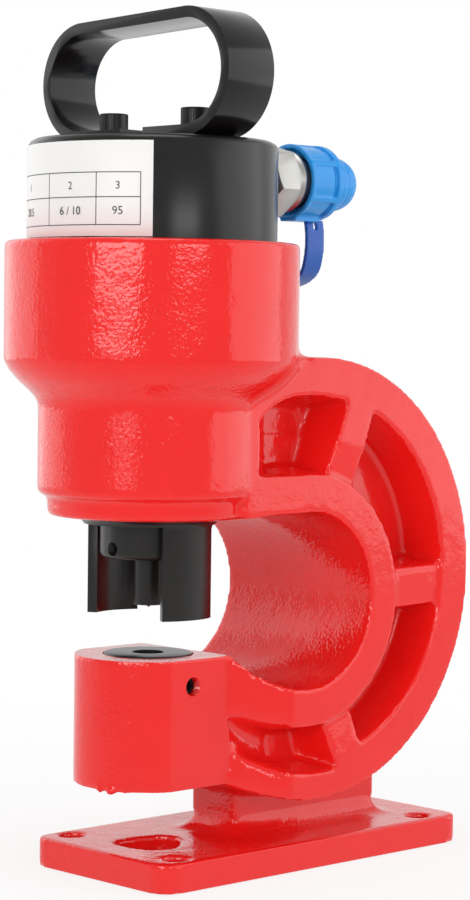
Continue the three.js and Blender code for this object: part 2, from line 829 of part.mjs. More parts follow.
function makeCouplerBody() {
  const shaft = [
    [0, barrelRadius - couplerThreadLength],
    [couplerThreadRadius, barrelRadius - couplerThreadLength],
    [couplerThreadRadius, neckFace],
    [couplerNeckRadius, neckFace],
    [couplerNeckRadius, collarFace],
    [couplerCollarRadius, collarFace],
    [couplerCollarRadius, noseFace],
    [couplerNoseRadius, noseFace],
    [couplerNoseRadius, noseEnd - couplerHexChamfer],
    [couplerNoseRadius - couplerHexChamfer, noseEnd],
    [0, noseEnd],
  ];
  const turn = THREE.MathUtils.degToRad(couplerHexTurnDegrees);
  const hex = extruded(hexagon(couplerHexAcross, turn), "x", hexFace, collarFace);
  const cornerRadius = couplerHexAcross / Math.sqrt(3);
  const flatRadius = couplerHexAcross / 2;
  const chamferEnvelope = turned([
    [0, hexFace],
    [flatRadius, hexFace],
    [cornerRadius, hexFace + couplerHexChamfer],
    [cornerRadius, collarFace - couplerHexChamfer],
    [flatRadius, collarFace],
    [0, collarFace],
  ], "x", mediumSides);
  const bores = turned([
    [0, barrelRadius - couplerThreadLength - overrun],
    [couplerBoreRadius, barrelRadius - couplerThreadLength - overrun],
    [couplerBoreRadius, chamberFace],
    [valveBoreRadius, chamberFace],
    [valveBoreRadius, valveSeatFace],
    [valveMouthRadius, valveSeatFace],
    [valveMouthRadius, noseEnd + overrun],
    [0, noseEnd + overrun],
  ], "x", smallSides);
  return turned(shaft, "x", mediumSides).add(hex.intersect(chamferEnvelope)).subtract(bores);
}

function makePoppet() {
  return turned([
    [0, poppetBack],
    [poppetHeadRadius, poppetBack],
    [poppetHeadRadius, poppetFace],
    [poppetStemRadius, poppetFace],
    [poppetStemRadius, noseEnd],
    [0, noseEnd],
  ], "x", smallSides);
}

function makeDustCap() {
  const innerRadius = capRadius - capWall;
  const cup = turned([
    [innerRadius, noseFace + seatGap],
    [capRadius + capRimRise, noseFace + seatGap],
    [capRadius + capRimRise, capFace],
    [capRadius, capFace],
    [capRadius, capFlangeFace],
    [capRadius + capFlangeRise, capFlangeFace],
    [capRadius + capFlangeRise, capDomeFace],
    [capDomeRadius, capDomeFace],
    [capDomeRadius, capDomeFace + capDomeLength * capDomeShares[0][1]],
    ...capDomeShares.slice(1).map(([radius, along]) => [
      capDomeRadius * radius, capDomeFace + capDomeLength * along,
    ]),
    [0, capEnd],
    [0, noseEnd + seatGap],
    [innerRadius, noseEnd + seatGap],
    [innerRadius, noseFace + seatGap],
  ], "x", mediumSides);
  const ribs = [];
  for (let i = 0; i < capRibCount; i += 1) {
    const angle = ((i + 1 / 2) * 2 * Math.PI) / capRibCount;
    const half = capRibWidth / 2;
    const outside = capRadius + capRibRise;
    const inside = capRadius - capWall / 2;
    const corners = [[inside, -half], [outside, -half], [outside, half], [inside, half]];
    const placed = corners.map(([out, across]) => [
      out * Math.cos(angle) - across * Math.sin(angle),
      out * Math.sin(angle) + across * Math.cos(angle),
    ]);
    ribs.push(extruded(polygon(placed), "x", capFace - capRimWidth / 2, capFlangeFace + capFlangeLength / 2));
  }
  return join([cup, ...ribs]);
}

// A flat strap that follows a smooth line through the route's places, with its width turned
// from row to row. Its section's corners run round it in order, and both ends are closed.
function strapAlong(route, width, thickness, steps) {
  const middle = new THREE.CatmullRomCurve3(route.map(([x, y, z]) => new THREE.Vector3(x, y, z)));
  const widthLine = new THREE.CatmullRomCurve3(route.map((row) => new THREE.Vector3(...row.slice(3))));
  const places = [];
  for (let i = 0; i <= steps; i += 1) {
    const share = i / steps;
    const centre = middle.getPoint(share);
    const forward = middle.getTangent(share);
    const across = widthLine.getPoint(share);
    across.addScaledVector(forward, -across.dot(forward)).normalize().multiplyScalar(width / 2);
    const through = new THREE.Vector3().crossVectors(forward, across);
    through.normalize().multiplyScalar(thickness / 2);
    for (const [a, b] of [[-1, -1], [1, -1], [1, 1], [-1, 1]]) {
      const corner = centre.clone().addScaledVector(across, a).addScaledVector(through, b);
      places.push(corner.x, corner.y, corner.z);
    }
  }
  const faces = [0, 2, 1, 0, 3, 2];
  for (let i = 0; i < steps; i += 1) {
    for (let side = 0; side < 4; side += 1) {
      const a = 4 * i + side;
      const b = 4 * i + ((side + 1) % 4);
      faces.push(a, b, b + 4, a, b + 4, a + 4);
    }
  }
  const end = 4 * steps;
  faces.push(end, end + 1, end + 2, end, end + 2, end + 3);
  const geometry = new THREE.BufferGeometry();
  geometry.setAttribute("position", new THREE.Float32BufferAttribute(places, 3));
  geometry.setIndex(faces);
  return solidOf(geometry);
}

function makeTether() {
  const ringLow = neckFace + (couplerNeckLength - tetherRingWidth) / 2;
  const ringMiddle = ringLow + tetherRingWidth / 2;
  const loop = ring(
    couplerNeckRadius + seatGap, tetherRingRadius, ringLow, ringLow + tetherRingWidth, "x", mediumSides,
  );
  const capUnderside = capRadius + capFlangeRise + seatGap;
  const route = tetherRouteShares.map(([along, swing, drop, ...across]) => [
    capFlangeFace + (ringMiddle - capFlangeFace) * along,
    tetherSwing * swing,
    -capUnderside - tetherDrop * drop,
    ...across,
  ]);
  return loop.add(strapAlong(route, tetherWidth, tetherThickness, tetherSteps));
}

// A coil spring about an axis as one tube, with straight cut ends.
class Helix extends THREE.Curve {
  constructor(radius, low, high, turns) {
    super();
    Object.assign(this, { radius, low, high, turns });
  }

  getPoint(share, target = new THREE.Vector3()) {
    const angle = share * this.turns * 2 * Math.PI;
    const height = this.low + (this.high - this.low) * share;
    return target.set(this.radius * Math.cos(angle), this.radius * Math.sin(angle), height);
  }
}

function coilSpring(meanRadius, wire, low, high, turns, axis) {
  const half = wire / 2;
  const path = new Helix(meanRadius, low + half, high - half, turns);
  const section = [];
  for (let i = 0; i < coilSectionSides; i += 1) {
    const angle = (i * 2 * Math.PI) / coilSectionSides;
    section.push([half * Math.cos(angle), half * Math.sin(angle)]);
  }
  const geometry = new THREE.ExtrudeGeometry(polygon(section), {
    steps: turns * coilStepsPerTurn,
    extrudePath: path,
    bevelEnabled: false,
  });
  return solidOf(geometry.applyMatrix4(extrusionTurns[axis]));
}

function makeStripper() {
  const collarTop = armUnderside - seatGap;
  const collarBottom = collarTop - stripperCollarHeight;
  const bottom = armUnderside - stripperReach;
  const body = turned([
    [stripperLegInnerRadius, bottom],
    [stripperLegOuterRadius, bottom],
    [stripperLegOuterRadius, collarBottom - stripperCollarHeight],
    [stripperCollarRadius, collarBottom],
    [stripperCollarRadius, collarTop],
    [stripperNeckRadius, collarTop],
    [stripperNeckRadius, guideFloorTop],
    [bushSeatRadius, guideFloorTop],
    [bushSeatRadius, bushSeat],
    [lipRadius, bushSeat],
    [lipRadius, wiperTop],
    [bushSeatRadius, wiperTop],
    [bushSeatRadius, wiperBottom],
    [stripperLegInnerRadius, wiperBottom],
    [stripperLegInnerRadius, bottom],
  ], "z", mediumSides);
  const legAngle = THREE.MathUtils.degToRad(stripperLegHalfAngleDegrees);
  const reach = 2 * stripperLegOuterRadius;
  const across = reach * Math.tan(Math.PI / 2 - legAngle);
  const windows = [-1, 1].map((side) => extruded(polygon([
    [0, 0],
    [side * reach, -side * across],
    [side * reach, side * across],
  ]), "z", bottom - overrun, armUnderside - stripperWindowTop));
  return cut(body, windows);
}

function makePiston() {
  return turned([
    [0, pistonBottom + ramNeckLength + seatGap],
    [ramNeckRadius + slideGap, pistonBottom + ramNeckLength + seatGap],
    [ramNeckRadius + slideGap, pistonBottom],
    [pistonRadius - pistonEdge, pistonBottom],
    [pistonRadius, pistonBottom + pistonEdge],
    [pistonRadius, wearBottom],
    [pistonRadius - wearRingDepth, wearBottom],
    [pistonRadius - wearRingDepth, wearTop],
    [pistonRadius, wearTop],
    [pistonRadius, sealBottom],
    [pistonRadius - sealGrooveDepth, sealBottom],
    [pistonRadius - sealGrooveDepth, sealTop],
    [pistonRadius, sealTop],
    [pistonRadius, pistonTop - pistonEdge],
    [pistonRadius - pistonEdge, pistonTop],
    [0, pistonTop],
  ], "z", mediumSides);
}

// A ring that lies in a groove of the piston, clear of its walls.
function pistonRing(depth, low, high) {
  return ring(
    pistonRadius - depth + slideGap, pistonRadius, low + slideGap, high - slideGap, "z", mediumSides,
  );
}

function makeRam() {
  const shoulder = pistonBottom - seatGap;
  const boreRadius = punchShankRadius + slideGap;
  const boreTopHeight = ramTip + punchShankLength + seatGap;
  const body = turned([
    [0, boreTopHeight],
    [boreRadius, boreTopHeight],
    [boreRadius, ramTip],
    [ramRadius - ramChamfer, ramTip],
    [ramRadius, ramTip + ramChamfer],
    [ramRadius, shoulder],
    [ramNeckRadius, shoulder],
    [ramNeckRadius, pistonBottom + ramNeckLength],
    [0, pistonBottom + ramNeckLength],
  ], "z", mediumSides);
  const screwHole = rod(punchScrewRadius + slideGap, -ramRadius - overrun, 0, "x", smallSides);
  return body.subtract(moved(screwHole, 0, 0, ramTip + punchScrewHeight));
}

function makePunch() {
  const tip = ramTip - punchTipReach;
  return turned([
    [0, tip - punchPipHeight],
    [punchPipRadius, tip],
    [punchTipRadius, tip],
    [punchTipRadius, ramTip],
    [punchShankRadius, ramTip + punchShoulder],
    [punchShankRadius, ramTip + punchShankLength],
    [0, ramTip + punchShankLength],
  ], "z", mediumSides);
}

function makeDie() {
  const holeRadius = punchTipRadius + dieClearance;
  return turned([
    [dieReliefRadius, dieBottom],
    [dieRadius, dieBottom],
    [dieRadius, dieTop - dieEdge],
    [dieRadius - dieEdge, dieTop],
    [holeRadius, dieTop],
    [holeRadius, dieTop - dieLandHeight],
    [dieReliefRadius, dieTop - dieLandHeight],
    [dieReliefRadius, dieBottom],
  ], "z", mediumSides);
}

function named(name, solid, finish) {
  const piece = new THREE.Mesh(geometryOf(solid), finishes[finish]);
  piece.name = name;
  return piece;
}

const holePunch = new THREE.Group();
const onPunchLine = new THREE.Group();
onPunchLine.position.set(punchLineX, 0, 0);
holePunch.add(onPunchLine);

const casting = new THREE.Group();
casting.add(named("frame_casting", makeCasting(), "redPaint"));
const dieScrew = named("die_set_screw", makeSetScrew(dieScrewRadius, dieScrewLength, "y"), "blackOxide");
dieScrew.position.set(0, -dieRadius - seatGap - dieScrewLength, dieTop - dieScrewDrop);
casting.add(named("die", makeDie(), "blackOxide"), dieScrew, named("stripper", makeStripper(), "blackOxide"));

const cylinder = new THREE.Group();
cylinder.add(
  named("cylinder_barrel", makeBarrel(), "blackOxide"),
  named("name_plate", makeLabel(), "label"),
  named("handle_strap", makeHandle(), "blackOxide"),
);
for (const [name, side] of [["handle_screw_left", 1], ["handle_screw_right", -1]]) {
  const screw = named(name, makeCapScrew(), "blackOxide");
  screw.position.set(0, (side * handleScrewSpacing) / 2, handleScrewSeat);
  cylinder.add(screw);
}

const guide = new THREE.Group();
guide.add(
  named("guide_bush", ring(
    bushSeatRadius - bushWall, bushSeatRadius - slideGap, bushSeat + slideGap, guideFloorTop,
    "z", mediumSides,
  ), "bronze"),
  named("rod_wiper", ring(
    ramRadius + slideGap, bushSeatRadius - slideGap, wiperBottom + slideGap, wiperTop - slideGap,
    "z", mediumSides,
  ), "seal"),
  named("spring_seat_washer", ring(
    springSeatWasherBore, springChamberRadius - seatGap, guideFloorTop + seatGap, springSeatTop,
    "z", mediumSides,
  ), "steel"),
  named("return_spring", coilSpring(
    springMeanRadius, springWire, springSeatTop + seatGap, pistonBottom - seatGap, springTurns, "z",
  ), "springSteel"),
);

const ramGroup = new THREE.Group();
const punchScrew = named(
  "punch_set_screw", makeSetScrew(punchScrewRadius, punchScrewLength, "x"), "blackOxide",
);
punchScrew.position.set(-punchShankRadius - seatGap - punchScrewLength, 0, ramTip + punchScrewHeight);
ramGroup.add(
  named("piston", makePiston(), "steel"),
  named("piston_seal", pistonRing(sealGrooveDepth, backupTop, sealTop), "seal"),
  named("piston_backup_ring", pistonRing(sealGrooveDepth, sealBottom, backupTop), "bronze"),
  named("piston_wear_ring", pistonRing(wearRingDepth, wearBottom, wearTop), "bronze"),
  named("ram", makeRam(), "blackOxide"),
  named("punch", makePunch(), "blackOxide"),
  punchScrew,
);

const onCouplerLine = new THREE.Group();
onCouplerLine.position.set(0, 0, couplerHeight);
onCouplerLine.add(
  named("coupler_seal_washer", ring(
    couplerThreadRadius + slideGap, sealWasherRadius, washerFace, washerFace + sealWasherThickness,
    "x", mediumSides,
  ), "seal"),
  named("coupler_body", makeCouplerBody(), "nickel"),
  named("coupler_poppet", makePoppet(), "steel"),
  named("coupler_spring", coilSpring(
    poppetSpringRadius, poppetSpringWire, springSeatFace, poppetBack - seatGap, poppetSpringTurns, "x",
  ), "springSteel"),
  named("coupler_spring_seat", ring(
    springSeatBore, valveBoreRadius - slideGap, chamberFace + seatGap, springSeatFace - seatGap,
    "x", smallSides,
  ), "steel"),
  named("dust_cap", makeDustCap(), "bluePlastic"),
  named("dust_cap_tether", makeTether(), "bluePlastic"),
);

onPunchLine.add(casting, cylinder, guide, ramGroup, onCouplerLine);

export default holePunch;
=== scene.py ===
"""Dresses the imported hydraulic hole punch: a painted cast C-frame, a blackened cylinder with its
carrying handle and label, a plated coupler with a blue dust cap, and the punch, die and stripper.

Sizes are in millimetres from the foot of the punch line, the vertical axis of punch and die."""
import math

import bpy
from bpy.props import FloatProperty, FloatVectorProperty, IntProperty, PointerProperty, StringProperty
from mathutils import Matrix, Vector


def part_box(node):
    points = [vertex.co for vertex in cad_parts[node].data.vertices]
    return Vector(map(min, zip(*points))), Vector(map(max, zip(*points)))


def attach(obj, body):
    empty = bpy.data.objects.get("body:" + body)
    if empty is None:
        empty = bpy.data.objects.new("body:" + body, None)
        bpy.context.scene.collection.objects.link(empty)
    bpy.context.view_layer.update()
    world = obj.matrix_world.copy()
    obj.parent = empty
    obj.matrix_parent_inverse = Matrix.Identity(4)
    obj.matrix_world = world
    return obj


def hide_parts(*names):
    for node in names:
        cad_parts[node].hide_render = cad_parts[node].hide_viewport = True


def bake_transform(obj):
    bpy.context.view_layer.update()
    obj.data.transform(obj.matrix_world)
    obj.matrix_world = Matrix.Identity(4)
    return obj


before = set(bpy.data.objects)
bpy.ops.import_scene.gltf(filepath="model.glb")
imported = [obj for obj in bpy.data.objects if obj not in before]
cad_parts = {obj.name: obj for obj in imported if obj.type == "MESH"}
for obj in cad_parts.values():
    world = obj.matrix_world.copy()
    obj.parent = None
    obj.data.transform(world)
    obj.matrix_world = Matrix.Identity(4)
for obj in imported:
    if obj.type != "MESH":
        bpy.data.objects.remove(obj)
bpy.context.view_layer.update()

bl_info = {
    "name": "Hydraulic hole punch",
    "version": (1, 0, 0),
    "blender": (4, 5, 0),
    "location": "View3D > Sidebar > Hole punch",
    "description": "Builds the dressed pieces of a bench hydraulic hole punch and its stage",
    "category": "Add Mesh",
}

MM = 0.001
# Vertices closer than this are one.
TOUCH = MM * 0.001


def middle(node):
    low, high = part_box(node)
    return (low + high) / 2


PUNCH_X = middle("die").x
COUPLER_Z = middle("coupler_body").z / MM
X, Y, Z = Vector((1, 0, 0)), Vector((0, 1, 0)), Vector((0, 0, 1))


def at(x, y, z):
    """A place in millimetres from the foot of the punch line, in metres in the frame."""
    return Vector((PUNCH_X + x * MM, y * MM, z * MM))


def distance(name, description, default):
    return FloatProperty(
        name=name, description=description, default=default * MM, min=0, unit="LENGTH", subtype="DISTANCE",
    )


def colour(name, description, value):
    return StringProperty(name=name, description=description, default=value)


class CastingSizes(bpy.types.PropertyGroup):
    """The red casting"""

    base_length: distance("Base length", "Length of the base plate", 192.6)
    base_width: distance("Base width", "Width of the base plate", 90)
    base_thickness: distance("Base thickness", "Thickness of the base plate", 13.1)
    frame_width: distance("Frame width", "Width of the C-frame across its rims", 95.4)
    web_width: distance("Web width", "Thickness left between the pockets of both sides", 53)
    frame_radius: distance("Frame radius", "Outer radius of the C", 100)
    throat_radius: distance("Throat radius", "Radius at the back of the throat", 40)
    anvil_radius: distance("Anvil radius", "Radius of the anvil's round nose", 33)
    anvil_width: distance("Anvil width", "Width across the anvil's flat sides", 60)
    grain: distance("Voxel", "Size of the voxels that round the casting's edges", 1.25)
    paint: colour("Paint", "Colour of the enamel", "EE201D")
    deep: colour("Deep paint", "Colour where the enamel lies thicker", "E41916")


class CylinderSizes(bpy.types.PropertyGroup):
    """The hydraulic cylinder, its label and its handle"""

    radius: distance("Radius", "Radius of the barrel's head", 55.5)
    top: distance("Top", "Height of the barrel's top above the bench", 326.7)
    handle_width: distance("Handle width", "Width of the handle's flat bar", 27)
    handle_thickness: distance("Handle thickness", "Thickness of the handle's flat bar", 5)
    screw_spacing: distance("Screw spacing", "Distance between the handle's screws", 54)
    black: colour("Black", "Colour of the blackened barrel", "100F0E")
    lacquer: colour("Lacquer", "Colour of the handle's lacquer", "110E0D")
    label: colour("Label", "Colour of the label's film", "E8E7E5")
    print_colour: colour("Print", "Colour of the label's print", "2A2A2A")


class CouplerSizes(bpy.types.PropertyGroup):
    """The coupler half and its dust cap"""

    across_flats: distance("Across flats", "Size of the coupler's hexagon", 30)
    cap_radius: distance("Cap radius", "Radius of the dust cap's sleeve", 17)
    cap_ribs: IntProperty(name="Cap ribs", description="Grip ribs round the dust cap", default=6, min=0)
    strap_width: distance("Strap width", "Width of the dust cap's strap", 11.5)
    strap_thickness: distance("Strap thickness", "Thickness of the dust cap's strap", 2)
    nickel: colour("Nickel", "Colour of the plating", "BAB9B5")
    blue: colour("Blue", "Colour of the moulded cap", "0A8CE0")
    strap: colour("Strap", "Colour of the moulded strap", "0A50B0")


class ToolSizes(bpy.types.PropertyGroup):
    """Punch, die, stripper and the pieces inside the cylinder"""

    punch_radius: distance("Punch radius", "Radius of the punch's tip", 6.9)
    die_radius: distance("Die radius", "Radius of the die", 20.07)
    ram_radius: distance("Ram radius", "Radius of the ram", 22)
    steel: colour("Steel", "Colour of the ground steel", "B4B7BB")
    black: colour("Black", "Colour of the blackened tool steel", "151413")
    bronze: colour("Bronze", "Colour of the bearing bronze", "B08A54")
    rubber: colour("Rubber", "Colour of the seals", "1B1C1F")


class StageSizes(bpy.types.PropertyGroup):
    """Camera, floor and lights"""

    lens: FloatProperty(name="Lens", description="Focal length of the camera", default=102.75, min=1)
    camera: FloatVectorProperty(
        name="Camera", description="Place of the camera", default=(-0.83303, -0.85272, 0.24264),
        unit="LENGTH", subtype="TRANSLATION",
    )
    floor: colour("Floor", "Colour of the floor", "F7F7F7")


class HolePunchSettings(bpy.types.PropertyGroup):
    """All settings of the hole punch"""

    casting: PointerProperty(type=CastingSizes)
    cylinder: PointerProperty(type=CylinderSizes)
    coupler: PointerProperty(type=CouplerSizes)
    tool: PointerProperty(type=ToolSizes)
    stage: PointerProperty(type=StageSizes)


# Modelling, as by hand


def object_mode():
    if bpy.context.object and bpy.context.object.mode != "OBJECT":
        bpy.ops.object.mode_set(mode="OBJECT")
    bpy.ops.object.select_all(action="DESELECT")


def choose(piece):
    object_mode()
    piece.select_set(True)
    bpy.context.view_layer.objects.active = piece


def edit(piece, test=None):
    """Opens a piece in edit mode with the vertices selected whose places pass the test."""
    choose(piece)
    mesh = piece.data
    for elements in (mesh.polygons, mesh.edges, mesh.vertices):
        elements.foreach_set("select", [False] * len(elements))
    if test:
        mesh.vertices.foreach_set("select", [test(piece.matrix_world @ v.co) for v in mesh.vertices])
    bpy.ops.object.mode_set(mode="EDIT")
    bpy.ops.mesh.select_mode(type="VERT")
    if test is None:
        bpy.ops.mesh.select_all(action="SELECT")


def draw(points, closed=True):
    """Draws a line through places by extruding one vertex, and closes it to a loop if asked."""
    object_mode()
    bpy.ops.mesh.primitive_plane_add(size=MM, location=points[0])
    bpy.ops.object.mode_set(mode="EDIT")
    bpy.ops.mesh.select_mode(type="VERT")
    bpy.ops.mesh.merge(type="CENTER")
    route = list(points) + ([points[0]] if closed else [])
    for here, there in zip(route, route[1:]):
        bpy.ops.mesh.extrude_region_move(TRANSFORM_OT_translate={"value": there - here})
    bpy.ops.mesh.select_all(action="SELECT")
    bpy.ops.mesh.remove_doubles(threshold=TOUCH)
    return bpy.context.object


def settle():
    """Puts the chosen piece's place, turn and scale into its mesh."""
    bpy.ops.object.transform_apply(location=True, rotation=True, scale=True)


def close_up(piece):
    """Merges doubles, turns the faces outwards and puts the piece's place into its mesh."""
    edit(piece)
    bpy.ops.mesh.remove_doubles(threshold=TOUCH)
    bpy.ops.mesh.normals_make_consistent(inside=False)
    object_mode()
    choose(piece)
    settle()
    return piece


def push(points, direction):
    """A solid from an outline pushed along a direction."""
    piece = draw(points)
    bpy.ops.mesh.edge_face_add()
    bpy.ops.mesh.extrude_region_move(TRANSFORM_OT_translate={"value": direction})
    return close_up(piece)


def push_up(outline, z, height):
    """A solid from an outline in X and Y, pushed upwards."""
    return push([at(x, y, z) for x, y in outline], Z * (height * MM))


def push_across(outline, y, width):
    """A solid from an outline in X and Z, pushed across the tool."""
    return push([at(x, y, z) for x, z in outline], Y * (width * MM))


AXES = {"Z": (Z, X), "X": (X, Z), "Y": (Y, X)}
SIXTHS = [i * math.pi / 3 for i in range(6)]


def turn(outline, axis="Z", centre=None, steps=96, start=0, sweep=360):
    """A solid spun about an axis from [radius, place] pairs. A whole turn's outline runs from axis
    to axis or is closed to a ring, and a part turn is filled at both ends."""
    along, out = AXES[axis]
    foot = at(0, 0, 0) if centre is None else centre
    out = Matrix.Rotation(math.radians(start), 3, along) @ out
    points = [foot + out * (r * MM) + along * (p * MM) for r, p in outline]
    whole = sweep == 360
    piece = draw(points, closed=not whole or outline[0][0] > 0)
    if not whole:
        bpy.ops.mesh.edge_face_add()
    bpy.ops.mesh.spin(steps=steps, angle=-math.radians(sweep), center=foot, axis=along)
    return close_up(piece)


def ring(inner, outer, low, high):
    return [(inner, low), (outer, low), (outer, high), (inner, high)]


def rod(radius, low, high):
    return [(0, low), (radius, low), (radius, high), (0, high)]


def primitive(operator, **settings):
    """Adds a primitive and puts its place, turn and scale into its mesh."""
    object_mode()
    operator(**settings)
    settle()
    return bpy.context.object


def cube(low, high):
    """A box between two corners."""
    return primitive(bpy.ops.mesh.primitive_cube_add, size=1, location=(low + high) / 2, scale=high - low)


def edit_some(piece, kind, test):
    """Opens a piece in edit mode with the edges or faces selected that pass the test."""
    edit(piece)
    bpy.ops.mesh.select_mode(type=kind)
    bpy.ops.mesh.select_all(action="DESELECT")
    bpy.ops.object.mode_set(mode="OBJECT")
    for element in piece.data.edges if kind == "EDGE" else piece.data.polygons:
        element.select = test(element)
    bpy.ops.object.mode_set(mode="EDIT")


def modify(piece, kind, **settings):
    choose(piece)
    bpy.ops.object.modifier_add(type=kind)
    modifier = piece.modifiers[-1]
    for name, value in settings.items():
        setattr(modifier, name, value)
    bpy.ops.object.modifier_apply(modifier=modifier.name)
    return piece


def combine(piece, others, operation):
    for other in others:
        modify(piece, "BOOLEAN", operation=operation, solver="MANIFOLD", object=other)
        bpy.data.objects.remove(other)
    if not piece.data.polygons:
        raise RuntimeError("a cut left nothing of " + piece.name)
    return piece


def cut(piece, *cutters):
    return combine(piece, cutters, "DIFFERENCE")


def join(piece, *others):
    return combine(piece, others, "UNION")


def soften(piece, width, segments=3, angle=30):
    """Rounds the edges that are sharper than an angle."""
    return modify(
        piece, "BEVEL", width=width * MM, segments=segments, limit_method="ANGLE",
        angle_limit=math.radians(angle), miter_outer="MITER_ARC", harden_normals=False,
    )


def mould(piece, voxel, repeat):
    """Melts a piece's parts into one skin and rounds its edges, as casting and moulding do."""
    modify(piece, "REMESH", mode="VOXEL", voxel_size=voxel * MM)
    smooth(piece, repeat)
    return piece


def smooth(piece, repeat, test=None):
    edit(piece, test)
    bpy.ops.mesh.vertices_smooth(factor=0.5, repeat=repeat)
    object_mode()


def finish(piece, name, body, nodes, material, angle=35):
    """Names, shades and dresses a piece, and lets it ride in place of its CAD nodes."""
    choose(piece)
    piece.name = piece.data.name = name
    bpy.ops.object.shade_smooth_by_angle(angle=math.radians(angle))
    piece.data.materials.clear()
    piece.data.materials.append(material)
    if nodes:
        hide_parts(*nodes)
    if body:
        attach(piece, body)
    object_mode()
    return piece


def thread(radius, depth, low, high, pitch):
    """Pairs along the teeth of a thread, from low to high."""
    count = int((high - low) / pitch)
    points = []
    for i in range(count):
        points += [(radius, low + i * pitch), (radius - depth, low + (i + 0.5) * pitch)]
    return points + [(radius, low + count * pitch)]


# Finishes


def linear(value):
    """An sRGB hex colour as linear red, green, blue and alpha."""
    parts = [int(value[i:i + 2], 16) / 255 for i in (0, 2, 4)]
    return tuple(c / 12.92 if c <= 0.04045 else ((c + 0.055) / 1.055) ** 2.4 for c in parts) + (1,)


def feed(tree, node, inputs):
    """Gives a node its inputs, each a value or the output that is linked to it."""
    for socket, value in dict(inputs).items():
        if isinstance(value, bpy.types.NodeSocket):
            tree.links.new(value, node.inputs[socket])
        else:
            node.inputs[socket].default_value = value


def add(tree, kind, inputs=(), out=None, **settings):
    """Adds a node and returns its output of that name, or else the first one in use."""
    made = tree.nodes.new(kind)
    for name, value in settings.items():
        setattr(made, name, value)
    feed(tree, made, inputs)
    return made.outputs[out] if out else next((o for o in made.outputs if o.enabled), None)


def new_material(name):
    """A material with nothing but a surface shader, its tree and its coordinates."""
    material = bpy.data.materials.new(name)
    material.use_nodes = True
    tree = material.node_tree
    return material, tree, add(tree, "ShaderNodeTexCoord", out="Object")


def dress(material, **values):
    """Gives a material's surface shader its inputs."""
    tree = material.node_tree
    inputs = {name.replace("_", " "): value for name, value in values.items()}
    feed(tree, tree.nodes["Principled BSDF"], inputs)
    return material


def per_metre(millimetres):
    """A noise scale whose spots are so many millimetres across."""
    return 1 / (millimetres * MM)


def clouded(tree, place, millimetres, detail, first, second):
    """Clouds so many millimetres across, and the colour that they mix from two."""
    spots = {"Vector": place, "Scale": per_metre(millimetres), "Detail": detail}
    cloud = add(tree, "ShaderNodeTexNoise", spots)
    mixed = {"Factor": cloud, "A": linear(first), "B": linear(second)}
    return cloud, add(tree, "ShaderNodeMix", mixed, data_type="RGBA")


def tool_lines(tree, place, axis, apart, drawn):
    """Noise drawn out round an axis to lines so many millimetres apart, as a lathe leaves them, or
    an even grain of about 3 mm on a piece without an axis."""
    fine = per_metre(apart)
    stretch = {"X": (fine, drawn, drawn), "Z": (drawn, drawn, fine), "": (300, 300, 300)}[axis]
    lined = add(tree, "ShaderNodeMapping", {"Vector": place, "Scale": stretch})
    return add(tree, "ShaderNodeTexNoise", {"Vector": lined, "Scale": 1.0, "Detail": 2.0})


def red_enamel(paint, deep):
    """Thick enamel on an unmachined casting: a full red with a wet gloss, whose skin peels like an
    orange's in bumps of 1.7 mm and swells over 9 mm. It lies calmer on the tool's flat sides."""
    material, tree, place = new_material("red_enamel_on_casting")
    patches, tint = clouded(tree, place, 30, 3.0, paint, deep)
    swell = add(tree, "ShaderNodeTexNoise", {"Vector": place, "Scale": per_metre(9), "Detail": 1.0})
    peel = add(tree, "ShaderNodeTexNoise", {"Vector": place, "Scale": per_metre(1.7), "Detail": 1.5})
    facing = add(tree, "ShaderNodeNewGeometry", out="Normal")
    sideways = add(tree, "ShaderNodeSeparateXYZ", {0: facing}, out="Y")
    flank = add(tree, "ShaderNodeMath", {0: sideways}, operation="ABSOLUTE")
    calm = add(tree, "ShaderNodeMapRange", {
        "Value": flank, "From Min": 0.85, "From Max": 0.99, "To Min": 1.0, "To Max": 0.35,
    })
    share = add(tree, "ShaderNodeMapRange", {
        "Value": patches, "From Min": 0.35, "From Max": 0.65, "To Min": 0.6, "To Max": 1.35,
    })
    amount = add(tree, "ShaderNodeMath", {0: share, 1: calm}, operation="MULTIPLY")
    height = add(tree, "ShaderNodeMath", {0: peel, 1: amount}, operation="MULTIPLY")
    low = add(tree, "ShaderNodeBump", {"Height": swell, "Strength": 0.5, "Distance": 0.45 * MM})
    skin = {"Height": height, "Strength": 0.6, "Distance": 0.3 * MM, "Normal": low}
    fine = add(tree, "ShaderNodeBump", skin)
    return dress(material, Base_Color=tint, Normal=fine, Roughness=0.09, Specular_IOR_Level=0.5)


def blackened_steel(black, axis, name, roughness=0.36, worn="211F1D"):
    """Turned steel, blackened in hot salts and oiled: near black, with a satin sheen that varies in
    clouds of 18 mm, and fine tool lines 0.4 mm apart round its axis."""
    material, tree, place = new_material(name)
    lines = tool_lines(tree, place, axis, 0.4, 8)
    cloud, tint = clouded(tree, place, 18, 4.0, black, worn)
    spread = {"Value": cloud, "To Min": roughness - 0.05, "To Max": roughness + 0.07}
    sheen = add(tree, "ShaderNodeMapRange", spread)
    bump = add(tree, "ShaderNodeBump", {"Height": lines, "Strength": 0.12, "Distance": 0.03 * MM})
    return dress(material, Base_Color=tint, Roughness=sheen, Normal=bump, Specular_IOR_Level=0.38)


def black_lacquer(black):
    """Sprayed gloss lacquer on bent flat bar: black, glossy, with a faint flow in its skin."""
    material, tree, place = new_material("black_lacquer_on_flat_bar")
    flow, tint = clouded(tree, place, 9, 2.0, black, "161413")
    bump = add(tree, "ShaderNodeBump", {"Height": flow, "Strength": 0.15, "Distance": 0.12 * MM})
    return dress(material, Base_Color=tint, Normal=bump, Roughness=0.16, Specular_IOR_Level=0.36)


